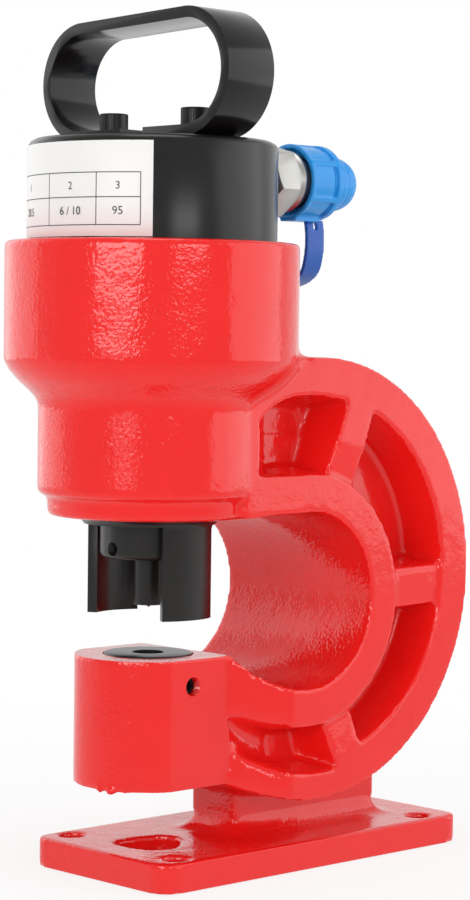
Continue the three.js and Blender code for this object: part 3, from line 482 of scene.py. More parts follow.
def machined_metal(name, value, roughness, axis="Z", apart=0.5):
    """Bare machined or plated metal: bright, with fine tool lines round its axis and faint stains
    of 12 mm."""
    material, tree, place = new_material(name)
    lines = tool_lines(tree, place, axis, apart, 6)
    stain = add(tree, "ShaderNodeTexNoise", {"Vector": place, "Scale": per_metre(12), "Detail": 3.0})
    shade = add(tree, "ShaderNodeMapRange", {"Value": stain, "To Min": 0.9, "To Max": 1.05})
    tint = add(tree, "ShaderNodeHueSaturation", {"Color": linear(value), "Value": shade})
    bump = add(tree, "ShaderNodeBump", {"Height": lines, "Strength": 0.15, "Distance": 0.03 * MM})
    return dress(material, Base_Color=tint, Normal=bump, Metallic=1.0, Roughness=roughness)


def moulded_plastic(name, value, other, roughness):
    """Injection-moulded plastic: even colour, a soft shine and a faint grain from the tool."""
    material, tree, place = new_material(name)
    tint = clouded(tree, place, 14, 2.0, value, other)[1]
    grain = add(tree, "ShaderNodeTexNoise", {"Vector": place, "Scale": per_metre(0.7), "Detail": 2.0})
    bump = add(tree, "ShaderNodeBump", {"Height": grain, "Strength": 0.1, "Distance": 0.05 * MM})
    return dress(material, Base_Color=tint, Normal=bump, Roughness=roughness)


# Pieces


def arc(centre_x, centre_y, radius, start, end, steps):
    """Places on an arc between two angles in degrees."""
    angles = [math.radians(start + (end - start) * i / steps) for i in range(steps + 1)]
    return [(centre_x + radius * math.cos(a), centre_y + radius * math.sin(a)) for a in angles]


class Piece:
    """What all operators of the hole punch share"""

    bl_options = {"REGISTER", "UNDO"}

    def execute(self, context):
        self.build(context.scene.hole_punch)
        object_mode()
        return {"FINISHED"}


# Middles of the C's outer arc and of the throat's, and heights of the anvil, arm, boss and screw
FRAME_X, FRAME_Z = 61.5, 132
THROAT_X, THROAT_Z = 55, 122.5
ANVIL_LOW, ANVIL_TOP, ARM_LOW = 41, 98.6, 162.5
RING_LOW, BOSS_TOP = 160.4, 282.1
DIE_SCREW_Z = 86.6
# What the casting's skin is thinned to
MOST_TRIANGLES = 180000


class HOLEPUNCH_OT_casting(Piece, bpy.types.Operator):
    """Builds the painted casting: base, pedestal, C-frame with pockets and ribs, anvil and boss"""

    bl_idname = "hole_punch.casting"
    bl_label = "Casting"

    base_front, base_corner = -29.5, 9
    bolt_radius, bolt_side, bolt_rows = 5.75, 35.1, (-13.9, 142.8)
    slug_rim = (
        (-12.2, 8.8), (-7, 11.3), (-1.5, 11.9), (5, 11), (10.6, 9), (14.5, 8.6), (17.7, 4.6), (18.2, 0),
        (16.5, -4), (13, -8.6), (9.1, -12.1), (4.5, -15.5), (0.2, -17.2), (-4.5, -16.8), (-8.6, -14.1),
        (-11.4, -9), (-12.3, -3),
    )
    column_front, column_back, column_side, column_top, foot_flare = 41, 134, 14.3, 66, 6
    anvil_ahead, side_end, flare_end = -36, 21.5, 44.6
    rib_turns, rib_root, rib_crest, draft = (70, 2, -70), 12.75, 8.75, 4
    rim_width, rim_sunk, pocket_front = 17, 1.8, 22
    # Places and radii of the drips under the anvil's nose
    drips = ((-31.3, -10.9, 41.2, 1.9), (-32.6, -5.1, 41.4, 1.5), (-28.6, -16.6, 41.4, 1.3))

    def base(self, size):
        front, half, thickness = self.base_front, size.base_width / MM / 2, size.base_thickness / MM
        plate = cube(at(front, -half, 0), at(front + size.base_length / MM, half, thickness))

        def stands(edge):
            ends = [plate.data.vertices[i].co.z for i in edge.vertices]
            return abs(ends[0] - ends[1]) > MM

        edit_some(plate, "EDGE", stands)
        bpy.ops.mesh.bevel(offset=self.base_corner * MM, segments=10, affect="EDGES")
        object_mode()
        holes = [turn(rod(self.bolt_radius, -2, thickness + 2), centre=at(x, y, 0), steps=32)
                 for x in self.bolt_rows for y in (-self.bolt_side, self.bolt_side)]
        return cut(plate, push_up(self.slug_rim, -2, thickness + 4), *holes)

    def pedestal(self, size):
        thickness, flare = size.base_thickness / MM, self.foot_flare
        front, back, half = self.column_front, self.column_back, self.column_side
        wide = half + flare
        column = cube(at(front, -half, thickness - 4), at(back, half, self.column_top))
        foot = cube(at(front - flare, -wide, thickness - 3), at(back + flare, wide, thickness + flare))
        edit(foot, lambda p: p.z > (thickness + 3) * MM)
        length = back - front
        bpy.ops.transform.resize(
            value=(length / (length + 2 * flare), half / wide, 1),
            center_override=at((front + back) / 2, 0, thickness),
        )
        object_mode()
        return column, foot

    def slab(self, size):
        """The C in the X-Z plane, pushed to its width, its front trimmed to the anvil's plan."""
        half = size.frame_width / MM / 2
        outer, throat = size.frame_radius / MM, size.throat_radius / MM
        low_x = FRAME_X - math.sqrt(outer ** 2 - (FRAME_Z - ANVIL_LOW) ** 2)
        first = math.degrees(math.atan2(ANVIL_LOW - FRAME_Z, low_x - FRAME_X))
        raised = ANVIL_TOP + 1
        back_x = THROAT_X - math.sqrt(throat ** 2 - (THROAT_Z - raised) ** 2)
        last = math.degrees(math.atan2(raised - THROAT_Z, back_x - THROAT_X))
        outline = [(self.anvil_ahead, ANVIL_LOW)] + arc(FRAME_X, FRAME_Z, outer, first, 90, 72)
        outline += [(14, FRAME_Z + outer), (14, RING_LOW + 0.5), (31, 161.5), (46, 162.1)]
        outline += arc(THROAT_X, THROAT_Z, throat, 90, last, 48) + [(self.anvil_ahead, raised)]
        slab = push_across(outline, -half, 2 * half)
        nose, flat = size.anvil_radius / MM, size.anvil_width / MM / 2
        lean = math.degrees(math.asin(flat / nose))
        side, flare = self.side_end, self.flare_end
        plan = [(side, -flat), (flare, -half), (50, -half), (50, half), (flare, half), (side, flat)]
        plan += arc(0, 0, nose, 180 - lean, 180 + lean, 40)
        keep = push_up(plan, 10, 114)
        around = cube(at(-40, -half - 2, 12), at(flare, half + 2, THROAT_Z))
        return cut(slab, cut(around, keep))

    def cone(self, centre_x, centre_z, web_radius, face_radius, size):
        """A round cutter for a pocket, wider at the face than at the web by its draft."""
        web, face = size.web_width / MM / 2, size.frame_width / MM / 2
        slope = (face_radius - web_radius) / (face - web)
        return primitive(
            bpy.ops.mesh.primitive_cone_add, vertices=96, radius1=web_radius * MM,
            radius2=(face_radius + 2 * slope) * MM, depth=(face + 2 - web) * MM,
            location=at(centre_x, (web + face + 2) / 2, centre_z), rotation=(-math.pi / 2, 0, 0),
        )

    def rib(self, degrees, size):
        """A bar from the throat outwards, wider at the web than at its face."""
        web, face = size.web_width / MM / 2, size.frame_width / MM / 2
        along = Matrix.Rotation(math.radians(-degrees), 3, "Y") @ X
        across = along.cross(Y)
        root, crest, top = self.rib_root, self.rib_crest, face + 4
        section = [
            (-root, web - 2), (root, web - 2), (crest, face), (crest, top), (-crest, top), (-crest, face),
        ]
        foot = at(THROAT_X, 0, THROAT_Z)
        return push([foot + across * (a * MM) + Y * (y * MM) for a, y in section], along * (200 * MM))

    def pockets(self, size):
        """What the pockets take out of one side, and out of the other side by mirroring."""
        outer, throat = size.frame_radius / MM, size.throat_radius / MM
        web, face = size.web_width / MM / 2, size.frame_width / MM / 2
        rim, clear, sunk = throat + self.rim_width, face + 4, face - self.rim_sunk

        def throat_rim():
            return self.cone(THROAT_X, THROAT_Z, rim + self.draft, rim, size)

        def ceiling():
            return cube(at(-100, web - 2, THROAT_Z), at(THROAT_X, clear, THROAT_Z + rim))

        def front():
            return cube(at(-100, web - 2, 40), at(self.pocket_front, clear, 264))

        def round_pocket(width, draft=self.draft):
            return self.cone(FRAME_X, FRAME_Z, outer - width - draft, outer - width, size)

        ribs = [self.rib(degrees, size) for degrees in self.rib_turns]
        field = round_pocket(18)
        lift = 4
        crown = push([at(x, web - 1, z - lift) for x, z in (
            (22.6, 200), (23, 204.5), (25.5, 207.2), (30.5, 210.2), (37, 212.9), (44, 214.6), (54, 215.1),
            (66.6, 214.2), (72, 200),
        )], Y * ((face + 3 - web) * MM) + Z * (lift * 1.1 * MM))
        cut(crown, self.rib(self.rib_turns[0], size))
        rear = cut(field, throat_rim(), ceiling(), front(), *ribs)
        lower = round_pocket(12)
        window = cube(at(20, web - 1, 0), at(74.5, face + 1.9, THROAT_Z - throat))
        combine(lower, [window], "INTERSECT")
        corner = push_across((
            (18, 57), (21.3, 58.4), (22.2, 62.5), (24.6, 66.6), (28, 69), (33, 70), (38, 69.5), (38, 84),
            (18, 84),
        ), web - 3, 40)
        slope = push_up(((18, web - 4), (18, 30.4), (21.5, 30), (43.5, web - 0.1), (43.5, web - 4)), 30, 60)
        cut(lower, throat_rim(), self.rib(self.rib_turns[-1], size), corner, slope)
        notch = push_up(((21.6, 30), (25, 29.4), (25, clear), (21.6, clear)), 46, 14)
        rise = turn([
            (52, sunk), (rim, sunk), (rim + 18, face), (rim + 18, clear), (52, clear),
        ], axis="Y", centre=at(THROAT_X, 0, THROAT_Z))
        cut(rise, throat_rim(), ceiling(), front())
        waist = round_pocket(18.4, 1.6)
        strip = cube(at(THROAT_X + 44, sunk, THROAT_Z - 17.5), at(200, face + 3, THROAT_Z + 17.5))
        combine(waist, [strip], "INTERSECT")
        cut(waist, throat_rim())
        hollows = (rear, crown, lower, notch, rise, waist)
        for hollow in hollows:
            modify(hollow, "MIRROR", use_axis=(False, True, False), use_mirror_merge=False)
        return hollows

    def boss(self):
        return turn([
            (0, RING_LOW), (43.6, RING_LOW), (45, 161.2), (45.8, 162.8), (45.8, 169.2), (48.6, 170),
            (50.25, 171.6), (50.25, 209.3), (50.96, 211.7), (52.3, 213.7), (55.8, 217.1), (59.86, 220.8),
            (63.3, 224.9), (65.7, 229.3), (65.7, BOSS_TOP - 1.4), (64.6, BOSS_TOP), (0, BOSS_TOP),
        ], steps=128)

    def drip(self, x, y, z, radius):
        """A flat round bead of enamel, set a little into the nose."""
        return primitive(
            bpy.ops.mesh.primitive_uv_sphere_add, segments=16, ring_count=10, radius=radius * MM,
            location=at(x * 0.98, y * 0.98, z), scale=(1.2, 1.2, 1),
        )

    def build(self, settings):
        size = settings.casting
        slab = cut(self.slab(size), *self.pockets(size))
        body = join(self.base(size), *self.pedestal(size), slab, self.boss())
        join(body, *[self.drip(*drip) for drip in self.drips])
        mould(body, size.grain / MM, 2)
        smooth(body, 30, self.in_fillet)
        modify(body, "DECIMATE", ratio=min(1, MOST_TRIANGLES / (2 * len(body.data.polygons))))
        top = cube(at(-40, -60, ANVIL_TOP), at(38, 60, ANVIL_TOP + 6))
        under = cube(at(-40, -60, -3), at(180, 60, 0))
        bores = turn([
            (0, RING_LOW - 3), (32.3, RING_LOW - 3), (32.3, ARM_LOW), (30.3, ARM_LOW), (30.3, 180), (36, 180),
            (36, 229.8), (52.8, 229.8), (52.8, BOSS_TOP + 3), (0, BOSS_TOP + 3),
        ])
        seat = turn([(0, 40), (12, 40), (12, 76.3), (20.37, 76.3), (20.37, 104), (0, 104)])
        hole = [(0, -37)] + thread(4.6, 0.45, -37, -20, 1.25) + [(0, -19)]
        screw = turn(hole, axis="Y", centre=at(0, 0, DIE_SCREW_Z), steps=40)
        cut(body, top, under, bores, seat, screw)
        enamel = red_enamel(size.paint, size.deep)
        finish(body, "painted_casting", "body", ["frame_casting"], enamel, 40)

    @staticmethod
    def in_fillet(place):
        """Near the corners that the casting rounds widest: boss on arm, pedestal on base, and the
        blunt front end of the lower pocket."""
        x, y, z = (place.x - PUNCH_X) / MM, place.y / MM, place.z / MM
        out = math.hypot(x, y)
        arm = x > 30 and 62 < out < 72 and 226 < z < 240
        foot = 33 < x < 142 and abs(y) < 23 and 12 < z < 21
        bowl = 22.6 < x < 47 and 25 < abs(y) < 46 and 44 < z < 82
        return arm or foot or bowl


class HOLEPUNCH_OT_barrel(Piece, bpy.types.Operator):
    """Builds the blackened cylinder barrel with its oil port and screw holes"""

    bl_idname = "hole_punch.barrel"
    bl_label = "Cylinder barrel"

    def build(self, settings):
        size = settings.cylinder
        radius, top = size.radius / MM, size.top / MM
        shell = turn([
            (37.5, 230.1), (52.5, 230.1), (52.5, 282.4), (radius, 282.4), (radius, top - 2.6),
            (radius - 1, top - 1.1), (radius - 3, top), (0, top), (0, 299.7), (37.5, 299.7),
        ], steps=144)
        port = turn([
            (0, 0), (4, 0), (4, 40.5), (9.6, 40.5), (9.6, 54), (14.5, 54), (14.5, 60), (0, 60),
        ], axis="X", centre=at(0, 0, COUPLER_Z), steps=48)
        down = turn(rod(4, 297, COUPLER_Z), steps=24)
        half = size.screw_spacing / MM / 2
        holes = [turn(rod(4.1, 312, top + 3), centre=at(0, y, 0), steps=32) for y in (-half, half)]
        cut(shell, port, down, *holes)
        soften(shell, 0.35, 2, 40)
        black = blackened_steel(size.black, "Z", "blackened_turned_steel", 0.24, "1A1817")
        finish(shell, "blackened_barrel", "body", ["cylinder_barrel"], black)


class HOLEPUNCH_OT_name_plate(Piece, bpy.types.Operator):
    """Builds the pale label with a ruled table of plain numbers"""

    bl_idname = "hole_punch.name_plate"
    bl_label = "Name plate"

    columns = (-43, -5, 22.4, 42.6)
    rows = (287.6, 299.4, 309.9)

    def build(self, settings):
        size = settings.cylinder
        radius = size.radius / MM
        film = turn(ring(radius + 0.1, radius + 0.45, 282.8, 323.4), start=132, sweep=96, steps=64)
        soften(film, 0.08, 2, 40)
        white = moulded_plastic("pale_label_film", size.label, "ECEBE9", 0.42)
        finish(film, "label_film", "body", ["name_plate"], white)
        low, high = self.rows[0], self.rows[-1]
        face = radius + 0.46
        rim = face + 0.04
        left, right = self.columns[0], self.columns[-1]
        lines = [turn(ring(face, rim, z - 0.2, z + 0.2), start=180 + left, sweep=right - left, steps=48)
                 for z in self.rows]
        lines += [turn(ring(face, rim, low, high), start=180 + degrees - 0.2, sweep=0.4, steps=1)
                  for degrees in self.columns]
        centres = [(a + b) / 2 for a, b in zip(self.columns, self.columns[1:])]
        for degrees, heading, number in zip(centres, ("1", "2", "3"), ("20.5", "6 / 10", "95")):
            lines.append(self.figures(heading, degrees, 302.8, 3.4, face))
            lines.append(self.figures(number, degrees, 292, 3.6, face))
        first = lines[0]
        choose(first)
        for line in lines[1:]:
            line.select_set(True)
        bpy.ops.object.join()
        ink = moulded_plastic("dark_printing_ink", size.print_colour, "333333", 0.5)
        finish(first, "label_print", "body", [], ink)

    @staticmethod
    def figures(text, degrees, z, height, face):
        """Figures that stand on the label at an angle from its middle, as a thin mesh."""
        turned = math.radians(180 + degrees)
        out = Vector((math.cos(turned), math.sin(turned), 0))
        place = at(0, 0, z) + out * ((face + 0.05) * MM)
        object_mode()
        bpy.ops.object.text_add(location=place, rotation=(math.pi / 2, 0, turned + math.pi / 2))
        words = bpy.context.object
        words.data.body = text
        words.data.size = height * MM * 1.4
        words.data.align_x = "CENTER"
        words.data.extrude = 0.02 * MM
        words.data.resolution_u = 4
        bpy.ops.object.convert(target="MESH")
        settle()
        return bpy.context.object


class HOLEPUNCH_OT_handle(Piece, bpy.types.Operator):
    """Builds the carrying handle, a flat bar bent into a loop with an open seam"""

    bl_idname = "hole_punch.handle"
    bl_label = "Carrying handle"

    def build(self, settings):
        size = settings.cylinder
        thick, bottom, half = size.handle_thickness / MM, size.top / MM + 0.3, 34.15
        right, left = 27.85, 26.8
        outline = [(-7.5, bottom)] + arc(-half, bottom + right, right, 270, 90, 40)
        outline += arc(half, bottom + left, left, 90, -90, 40) + [(7.5, bottom), (7.5, bottom + thick)]
        outline += arc(half, bottom + left, left - thick, -90, 90, 40)
        outline += arc(-half, bottom + right, right - thick, 90, 270, 40) + [(-7.5, bottom + thick)]
        wide = size.handle_width / MM
        bar = push([at(-wide / 2, y, z) for y, z in outline], X * (wide * MM))
        reach = size.screw_spacing / MM / 2
        holes = [turn(rod(4.3, bottom - 2, bottom + thick + 2), centre=at(0, y, 0), steps=40)
                 for y in (-reach, reach)]
        cut(bar, *holes)
        soften(bar, 0.9, 4, 40)
        finish(bar, "carrying_handle", "body", ["handle_strap"], black_lacquer(size.lacquer))


class HOLEPUNCH_OT_handle_screws(Piece, bpy.types.Operator):
    """Builds one socket head cap screw with a knurled head, and its copy"""

    bl_idname = "hole_punch.handle_screws"
    bl_label = "Handle screws"

    def build(self, settings):
        size = settings.cylinder
        half = size.screw_spacing / MM / 2
        seat = size.top / MM + 0.3 + size.handle_thickness / MM + 0.3
        shank = [(0, seat - 20)] + [(r, seat - 19.5 + p) for r, p in thread(3.9, 0.45, 0, 15, 1.25)]
        screw = turn(shank + [(3.9, seat), (0, seat)], centre=at(0, half, 0), steps=32)
        head = primitive(
            bpy.ops.mesh.primitive_cylinder_add, vertices=56, radius=6.45 * MM, depth=8 * MM,
            location=at(0, half, seat + 4),
        )
        soften(head, 0.5, 2, 40)
        edit_some(head, "FACE", lambda face: abs(face.normal.z) < 0.05 and face.area > (2 * MM) * (0.5 * MM))
        bpy.ops.mesh.inset(thickness=0.12 * MM, depth=-0.16 * MM, use_individual=True)
        object_mode()
        socket = push_up([(3.6 * math.cos(a), half + 3.6 * math.sin(a)) for a in SIXTHS], seat + 4, 6)
        cut(head, socket)
        join(screw, head)
        close_up(screw)
        black = blackened_steel(settings.tool.black, "", "blackened_screw_steel", 0.36)
        object_mode()
        choose(screw)
        bpy.ops.object.duplicate()
        copy = bpy.context.object
        bpy.ops.transform.translate(value=(0, -2 * half * MM, 0))
        settle()
        finish(screw, "cap_screw_left", "body", ["handle_screw_left"], black)
        finish(copy, "cap_screw_right", "body", ["handle_screw_right"], black)


class HOLEPUNCH_OT_coupler(Piece, bpy.types.Operator):
    """Builds the plated coupler half with its valve and sealing washer"""

    bl_idname = "hole_punch.coupler"
    bl_label = "Coupler"

    def build(self, settings):
        size = settings.coupler
        line = at(0, 0, COUPLER_Z)

        def spun(outline, steps=48):
            return turn(outline, axis="X", centre=line, steps=steps)
        across = size.across_flats / MM
        corner = across / math.sqrt(3)
        shaft = [(0, 42.5), (8.6, 42.5)] + thread(9.5, 0.5, 43.5, 56, 1.25)
        shaft += [(9.5, 56.1), (11, 56.1), (11, 77.7), (14.3, 77.7), (14.3, 79)]
        shaft += thread(14.3, 0.45, 79.4, 83, 0.9) + [(14.3, 83.6), (11.6, 83.6)]
        shaft += thread(12, 0.6, 84.6, 96.5, 1.5) + [(12, 97.2), (10.6, 98.7), (0, 98.7)]
        body = spun(shaft, 72)
        angles = [math.radians(15.4 + 60 * i) for i in range(6)]
        corners = [at(63.7, corner * math.cos(a), COUPLER_Z + corner * math.sin(a)) for a in angles]
        hexagon = push(corners, X * (14 * MM))
        flat = across / 2 - 0.3
        rounder = spun([(0, 63.7), (flat, 63.7), (corner, 65.5), (corner, 75.9), (flat, 77.7), (0, 77.7)], 96)
        combine(hexagon, [rounder], "INTERSECT")
        join(body, hexagon)
        bore = spun([(0, 40), (4, 40), (4, 68.7), (7, 68.7), (7, 94.7), (4.4, 94.7), (4.4, 101), (0, 101)])
        cut(body, bore)
        soften(body, 0.25, 2, 35)
        plating = machined_metal("nickel_plating", size.nickel, 0.4, "X", 0.6)
        finish(body, "plated_coupler", "body", ["coupler_body"], plating)
        rubber = moulded_plastic("nitrile_rubber", settings.tool.rubber, "232428", 0.6)
        washer = soften(spun(ring(9.6, 13, 54.3, 55.8), 64), 0.3)
        finish(washer, "sealing_washer", "body", ["coupler_seal_washer"], rubber)
        steel = machined_metal("ground_valve_steel", settings.tool.steel, 0.3, "X")
        valve = spun([
            (0, 89.4), (6.2, 89.4), (6.4, 89.6), (6.4, 93), (5, 94.4), (2.2, 94.4), (2.2, 98.4), (1.9, 98.7),
            (0, 98.7),
        ])
        finish(valve, "valve_poppet", "poppet", ["coupler_poppet"], steel)
        seat = soften(spun(ring(3, 6.9, 69, 71.2)), 0.2)
        finish(seat, "valve_spring_seat", "body", ["coupler_spring_seat"], steel)


def capped_spring(centre, out, along, mean, wire, low, high, turns, steps):
    """A coil as one round wire, closed at both ends."""
    coil = primitive(
        bpy.ops.mesh.primitive_circle_add, vertices=12, radius=wire / 2 * MM, location=(mean * MM, 0, 0),
        rotation=(math.pi / 2, 0, 0),
    )
    pitch = (high - low - wire) / turns
    modify(coil, "SCREW", angle=2 * math.pi, screw_offset=pitch * MM, iterations=turns, steps=steps,
           render_steps=steps, use_smooth_shade=True)
    edit(coil)
    bpy.ops.mesh.remove_doubles(threshold=TOUCH)
    bpy.ops.mesh.select_all(action="DESELECT")
    bpy.ops.mesh.select_non_manifold()
    bpy.ops.mesh.fill()
    object_mode()
    side = along.cross(out)
    turned = Matrix((out, side, along)).transposed().to_4x4()
    coil.matrix_world = Matrix.Translation(centre + along * ((low + wire / 2) * MM)) @ turned
    return close_up(coil)


class HOLEPUNCH_OT_springs(Piece, bpy.types.Operator):
    """Builds the return spring and the valve's spring as wound wire, closed at both ends"""

    bl_idname = "hole_punch.springs"
    bl_label = "Springs"

    def build(self, settings):
        wire = machined_metal("oiled_spring_wire", "7E8286", 0.32, "Z", 0.8)
        coil = capped_spring(
            at(0, 0, 0), X, Z, mean=29, wire=5.6, low=183.1, high=271.1, turns=7, steps=40,
        )
        finish(coil, "wound_return_spring", None, ["return_spring"], wire)
        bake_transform(coil)
        small = capped_spring(
            at(0, 0, COUPLER_Z), Y, X, mean=4.4, wire=0.9, low=71.5, high=89.1, turns=5, steps=28,
        )
        finish(small, "wound_valve_spring", None, ["coupler_spring"], wire)
        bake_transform(small)


class HOLEPUNCH_OT_dust_cap(Piece, bpy.types.Operator):
    """Builds the blue moulded dust cap with its grip ribs and stepped dome"""

    bl_idname = "hole_punch.dust_cap"
    bl_label = "Dust cap"

    def build(self, settings):
        size = settings.coupler
        line = at(0, 0, COUPLER_Z)
        radius = size.cap_radius / MM
        cup = turn([
            (15.5, 84), (radius + 0.5, 84), (radius + 0.5, 86), (radius - 0.4, 86.8), (radius - 0.4, 99.4),
            (radius - 1.3, 99.8), (radius - 1.3, 100.8), (radius + 0.6, 101.1), (radius + 0.6, 104.4),
            (13.4, 104.7), (13.4, 110), (13.2, 111.8), (12.6, 112), (12.6, 112.7), (13, 112.9), (12.9, 114.2),
            (12.2, 114.5), (12.2, 115.2), (12.5, 115.5), (12.2, 116.6), (11.5, 116.8), (11.5, 117.5),
            (11.7, 117.8), (10.7, 119.6), (9.6, 120.8), (8, 121.7), (6.3, 122.3), (3.5, 122.6), (0, 122.7),
            (0, 99), (12.6, 99), (12.6, 87.5), (15.5, 86.8),
        ], axis="X", centre=line, steps=96)
        bars = []
        for i in range(size.cap_ribs):
            turned = Matrix.Rotation(2 * math.pi * i / size.cap_ribs, 3, "X")
            corners = [line + turned @ Vector((85 * MM, y * MM, z * MM)) for y, z in (
                (-1.6, radius - 2), (1.6, radius - 2), (1.35, radius + 0.5), (-1.35, radius + 0.5))]
            bars.append(push(corners, X * (18 * MM)))
        bars.append(cube(at(84.4, -5, COUPLER_Z - 18.4), at(101, 5, COUPLER_Z - 16.2)))
        join(cup, *bars)
        mould(cup, 0.5, 2)
        blue = moulded_plastic("blue_moulded_vinyl", size.blue, "149CEA", 0.27)
        finish(cup, "moulded_dust_cap", "cap", ["dust_cap"], blue, 50)


class HOLEPUNCH_OT_tether(Piece, bpy.types.Operator):
    """Builds the strap from the dust cap to its ring on the coupler's neck"""

    bl_idname = "hole_punch.tether"
    bl_label = "Dust cap strap"

    # Shares of the run along the coupler, of the swing and of the drop, then the way across.
    route = (
        (0, -0.02, 0, 1, 0, 0), (0, -0.057, 0.215, 1, 0, 0), (0, -0.04, 0.53, 1, 0, 0),
        (0.005, 0.094, 0.828, 1, 0.05, 0), (0.07, 0.453, 1, 0.98, 0.15, 0.05),
        (0.24, 0.85, 0.927, 0.9, 0.38, 0.2), (0.462, 1, 0.662, 0.75, 0.55, 0.35),
        (0.697, 0.906, 0.348, 0.45, 0.74, 0.5), (0.893, 0.64, 0.083, 0.15, 0.8, 0.58),
        (0.982, 0.385, -0.126, 0, 0.82, 0.575), (1, 0.283, -0.239, 0, 0.82, 0.575),
    )

    def build(self, settings):
        size = settings.coupler
        rows = []
        for along, swing, drop, *across in self.route:
            place = at(101.1 - 41.2 * along, 26.5 * swing, COUPLER_Z - 17.6 - 30.6 * drop)
            rows.append((place, Vector(across).normalized()))
        rows = self.smoothed(rows, 5)
        points, faces = [], []
        for i, (place, across) in enumerate(rows):
            half = across * (size.strap_width / 2)
            points += [place - half, place - half * 0.5, place + half * 0.5, place + half]
            if i:
                base = 4 * i
                faces += [(base - 4 + k, base - 3 + k, base + 1 + k, base + k) for k in range(3)]
        mesh = bpy.data.meshes.new("strap")
        mesh.from_pydata(points, [], faces)
        strap = bpy.data.objects.new("strap", mesh)
        bpy.context.scene.collection.objects.link(strap)
        modify(strap, "SOLIDIFY", thickness=size.strap_thickness, offset=0)
        close_up(strap)
        loop = turn(ring(11.3, 15, 57.9, 61.9), axis="X", centre=at(0, 0, COUPLER_Z), steps=72)
        slot = cube(at(100.1, -6, COUPLER_Z - 21.8), at(102.3, 6, COUPLER_Z - 18.7))
        join(strap, loop)
        cut(strap, slot)
        mould(strap, 0.45, 2)
        blue = moulded_plastic("blue_strap_vinyl", size.strap, "105FBC", 0.33)
        finish(strap, "moulded_strap", None, ["dust_cap_tether"], blue, 60)
        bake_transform(strap)

    @staticmethod
    def smoothed(rows, steps):
        """Points on a smooth line through the rows."""
        made = []
        for i in range(len(rows) - 1):
            p = [rows[max(i - 1, 0)], rows[i], rows[i + 1], rows[min(i + 2, len(rows) - 1)]]
            for k in range(steps):
                t = k / steps
                pair = []
                for j in (0, 1):
                    a, b, c, d = (q[j] for q in p)
                    pair.append(0.5 * (2 * b + (c - a) * t + (2 * a - 5 * b + 4 * c - d) * t * t
                                       + (3 * b - a - 3 * c + d) * t ** 3))
                made.append((pair[0], pair[1].normalized()))
        return made + [rows[-1]]


class HOLEPUNCH_OT_stripper(Piece, bpy.types.Operator):
    """Builds the black stripper fork and the ram's guide pieces in its neck"""

    bl_idname = "hole_punch.stripper"
    bl_label = "Stripper"

    def build(self, settings):
        fork = turn([
            (24.5, 115.8), (29, 115.8), (29, 155.4), (29.5, 157.2), (31, 158.9), (32, 159.6), (32, 162.2),
            (30, 162.2), (30, 180), (26, 180), (26, 169), (22.6, 169), (22.6, 167), (26, 167), (26, 162),
            (24.5, 162),
        ], steps=120)
        reach = 60
        across = reach * math.tan(math.radians(60))
        for side in (-1, 1):
            window = [(0, 0), (side * reach, -side * across), (side * reach, side * across)]
            cut(fork, push_up(window, 110, 47))
        soften(fork, 0.45, 3, 40)
        black = blackened_steel(settings.tool.black, "Z", "blackened_stripper_steel", 0.3)
        finish(fork, "stripper_fork", "body", ["stripper"], black)
        bronze = machined_metal("bearing_bronze", settings.tool.bronze, 0.34)
        rubber = moulded_plastic("nitrile_wiper", settings.tool.rubber, "232428", 0.6)
        steel = machined_metal("ground_washer_steel", settings.tool.steel, 0.3)
        bush = soften(turn(ring(22.2, 25.9, 169.1, 180)), 0.4)
        finish(bush, "bronze_guide_bush", "body", ["guide_bush"], bronze)
        wiper = turn([(22.1, 164.6), (22.9, 162.1), (25.9, 162.1), (25.9, 166.9), (22.9, 166.9)])
        finish(wiper, "rubber_rod_wiper", "body", ["rod_wiper"], rubber)
        washer = soften(turn(ring(23, 35.7, 180.3, 182.8)), 0.4)
        finish(washer, "spring_washer", "body", ["spring_seat_washer"], steel)


class HOLEPUNCH_OT_ram(Piece, bpy.types.Operator):
    """Builds the ram, the punch in its end and the punch's set screw"""

    bl_idname = "hole_punch.ram"
    bl_label = "Ram and punch"

    def build(self, settings):
        size = settings.tool
        radius, tip = size.ram_radius / MM, 141.8
        body = turn([
            (0, 166.1), (10.1, 166.1), (10.1, tip), (radius - 2.8, tip), (radius - 1.2, tip + 0.5),
            (radius - 0.3, tip + 1.5), (radius, tip + 2.8), (radius, 271.1), (14, 271.1), (14, 286.4),
            (0, 286.4),
        ])
        hole = turn([(0, -24)] + thread(3.25, 0.35, -24, -10.1, 1) + [(0, -9.8)], axis="X",
                    centre=at(0, 0, tip + 4.4), steps=32)
        cut(body, hole)
        black = blackened_steel(settings.tool.black, "Z", "blackened_ram_steel", 0.32)
        finish(body, "blackened_ram", "ram", ["ram"], black)
        r = size.punch_radius / MM
        punch = turn([
            (0, 119.3), (1.1, 120.1), (1.6, 120.7), (r, 120.7), (r, tip), (10, tip + 2), (10, 165.6),
            (9.5, 165.8), (0, 165.8),
        ], steps=72)
        soften(punch, 0.12, 2, 40)
        finish(punch, "hardened_punch", "ram", ["punch"], black)
        finish(set_screw(3, 8.5, "X", at(-18.8, 0, tip + 4.4)), "punch_grub_screw", "ram",
               ["punch_set_screw"], black)


def set_screw(radius, length, axis, centre):
    """A headless screw with rings for a thread and a hexagon socket in its near end."""
    outline = [(0, 0), (radius - 0.5, 0)] + thread(radius, 0.35, 0.5, length - 0.6, 1)
    outline += [(radius - 0.6, length), (0, length)]
    screw = turn(outline, axis=axis, centre=centre, steps=32)
    along, out = AXES[axis]
    side = along.cross(out)
    corner = radius * 0.55 * 2 / math.sqrt(3)
    corners = [centre - along * MM + out * (corner * math.cos(a) * MM) + side * (corner * math.sin(a) * MM)
               for a in SIXTHS]
    return cut(screw, push(corners, along * ((1 + length * 0.4) * MM)))


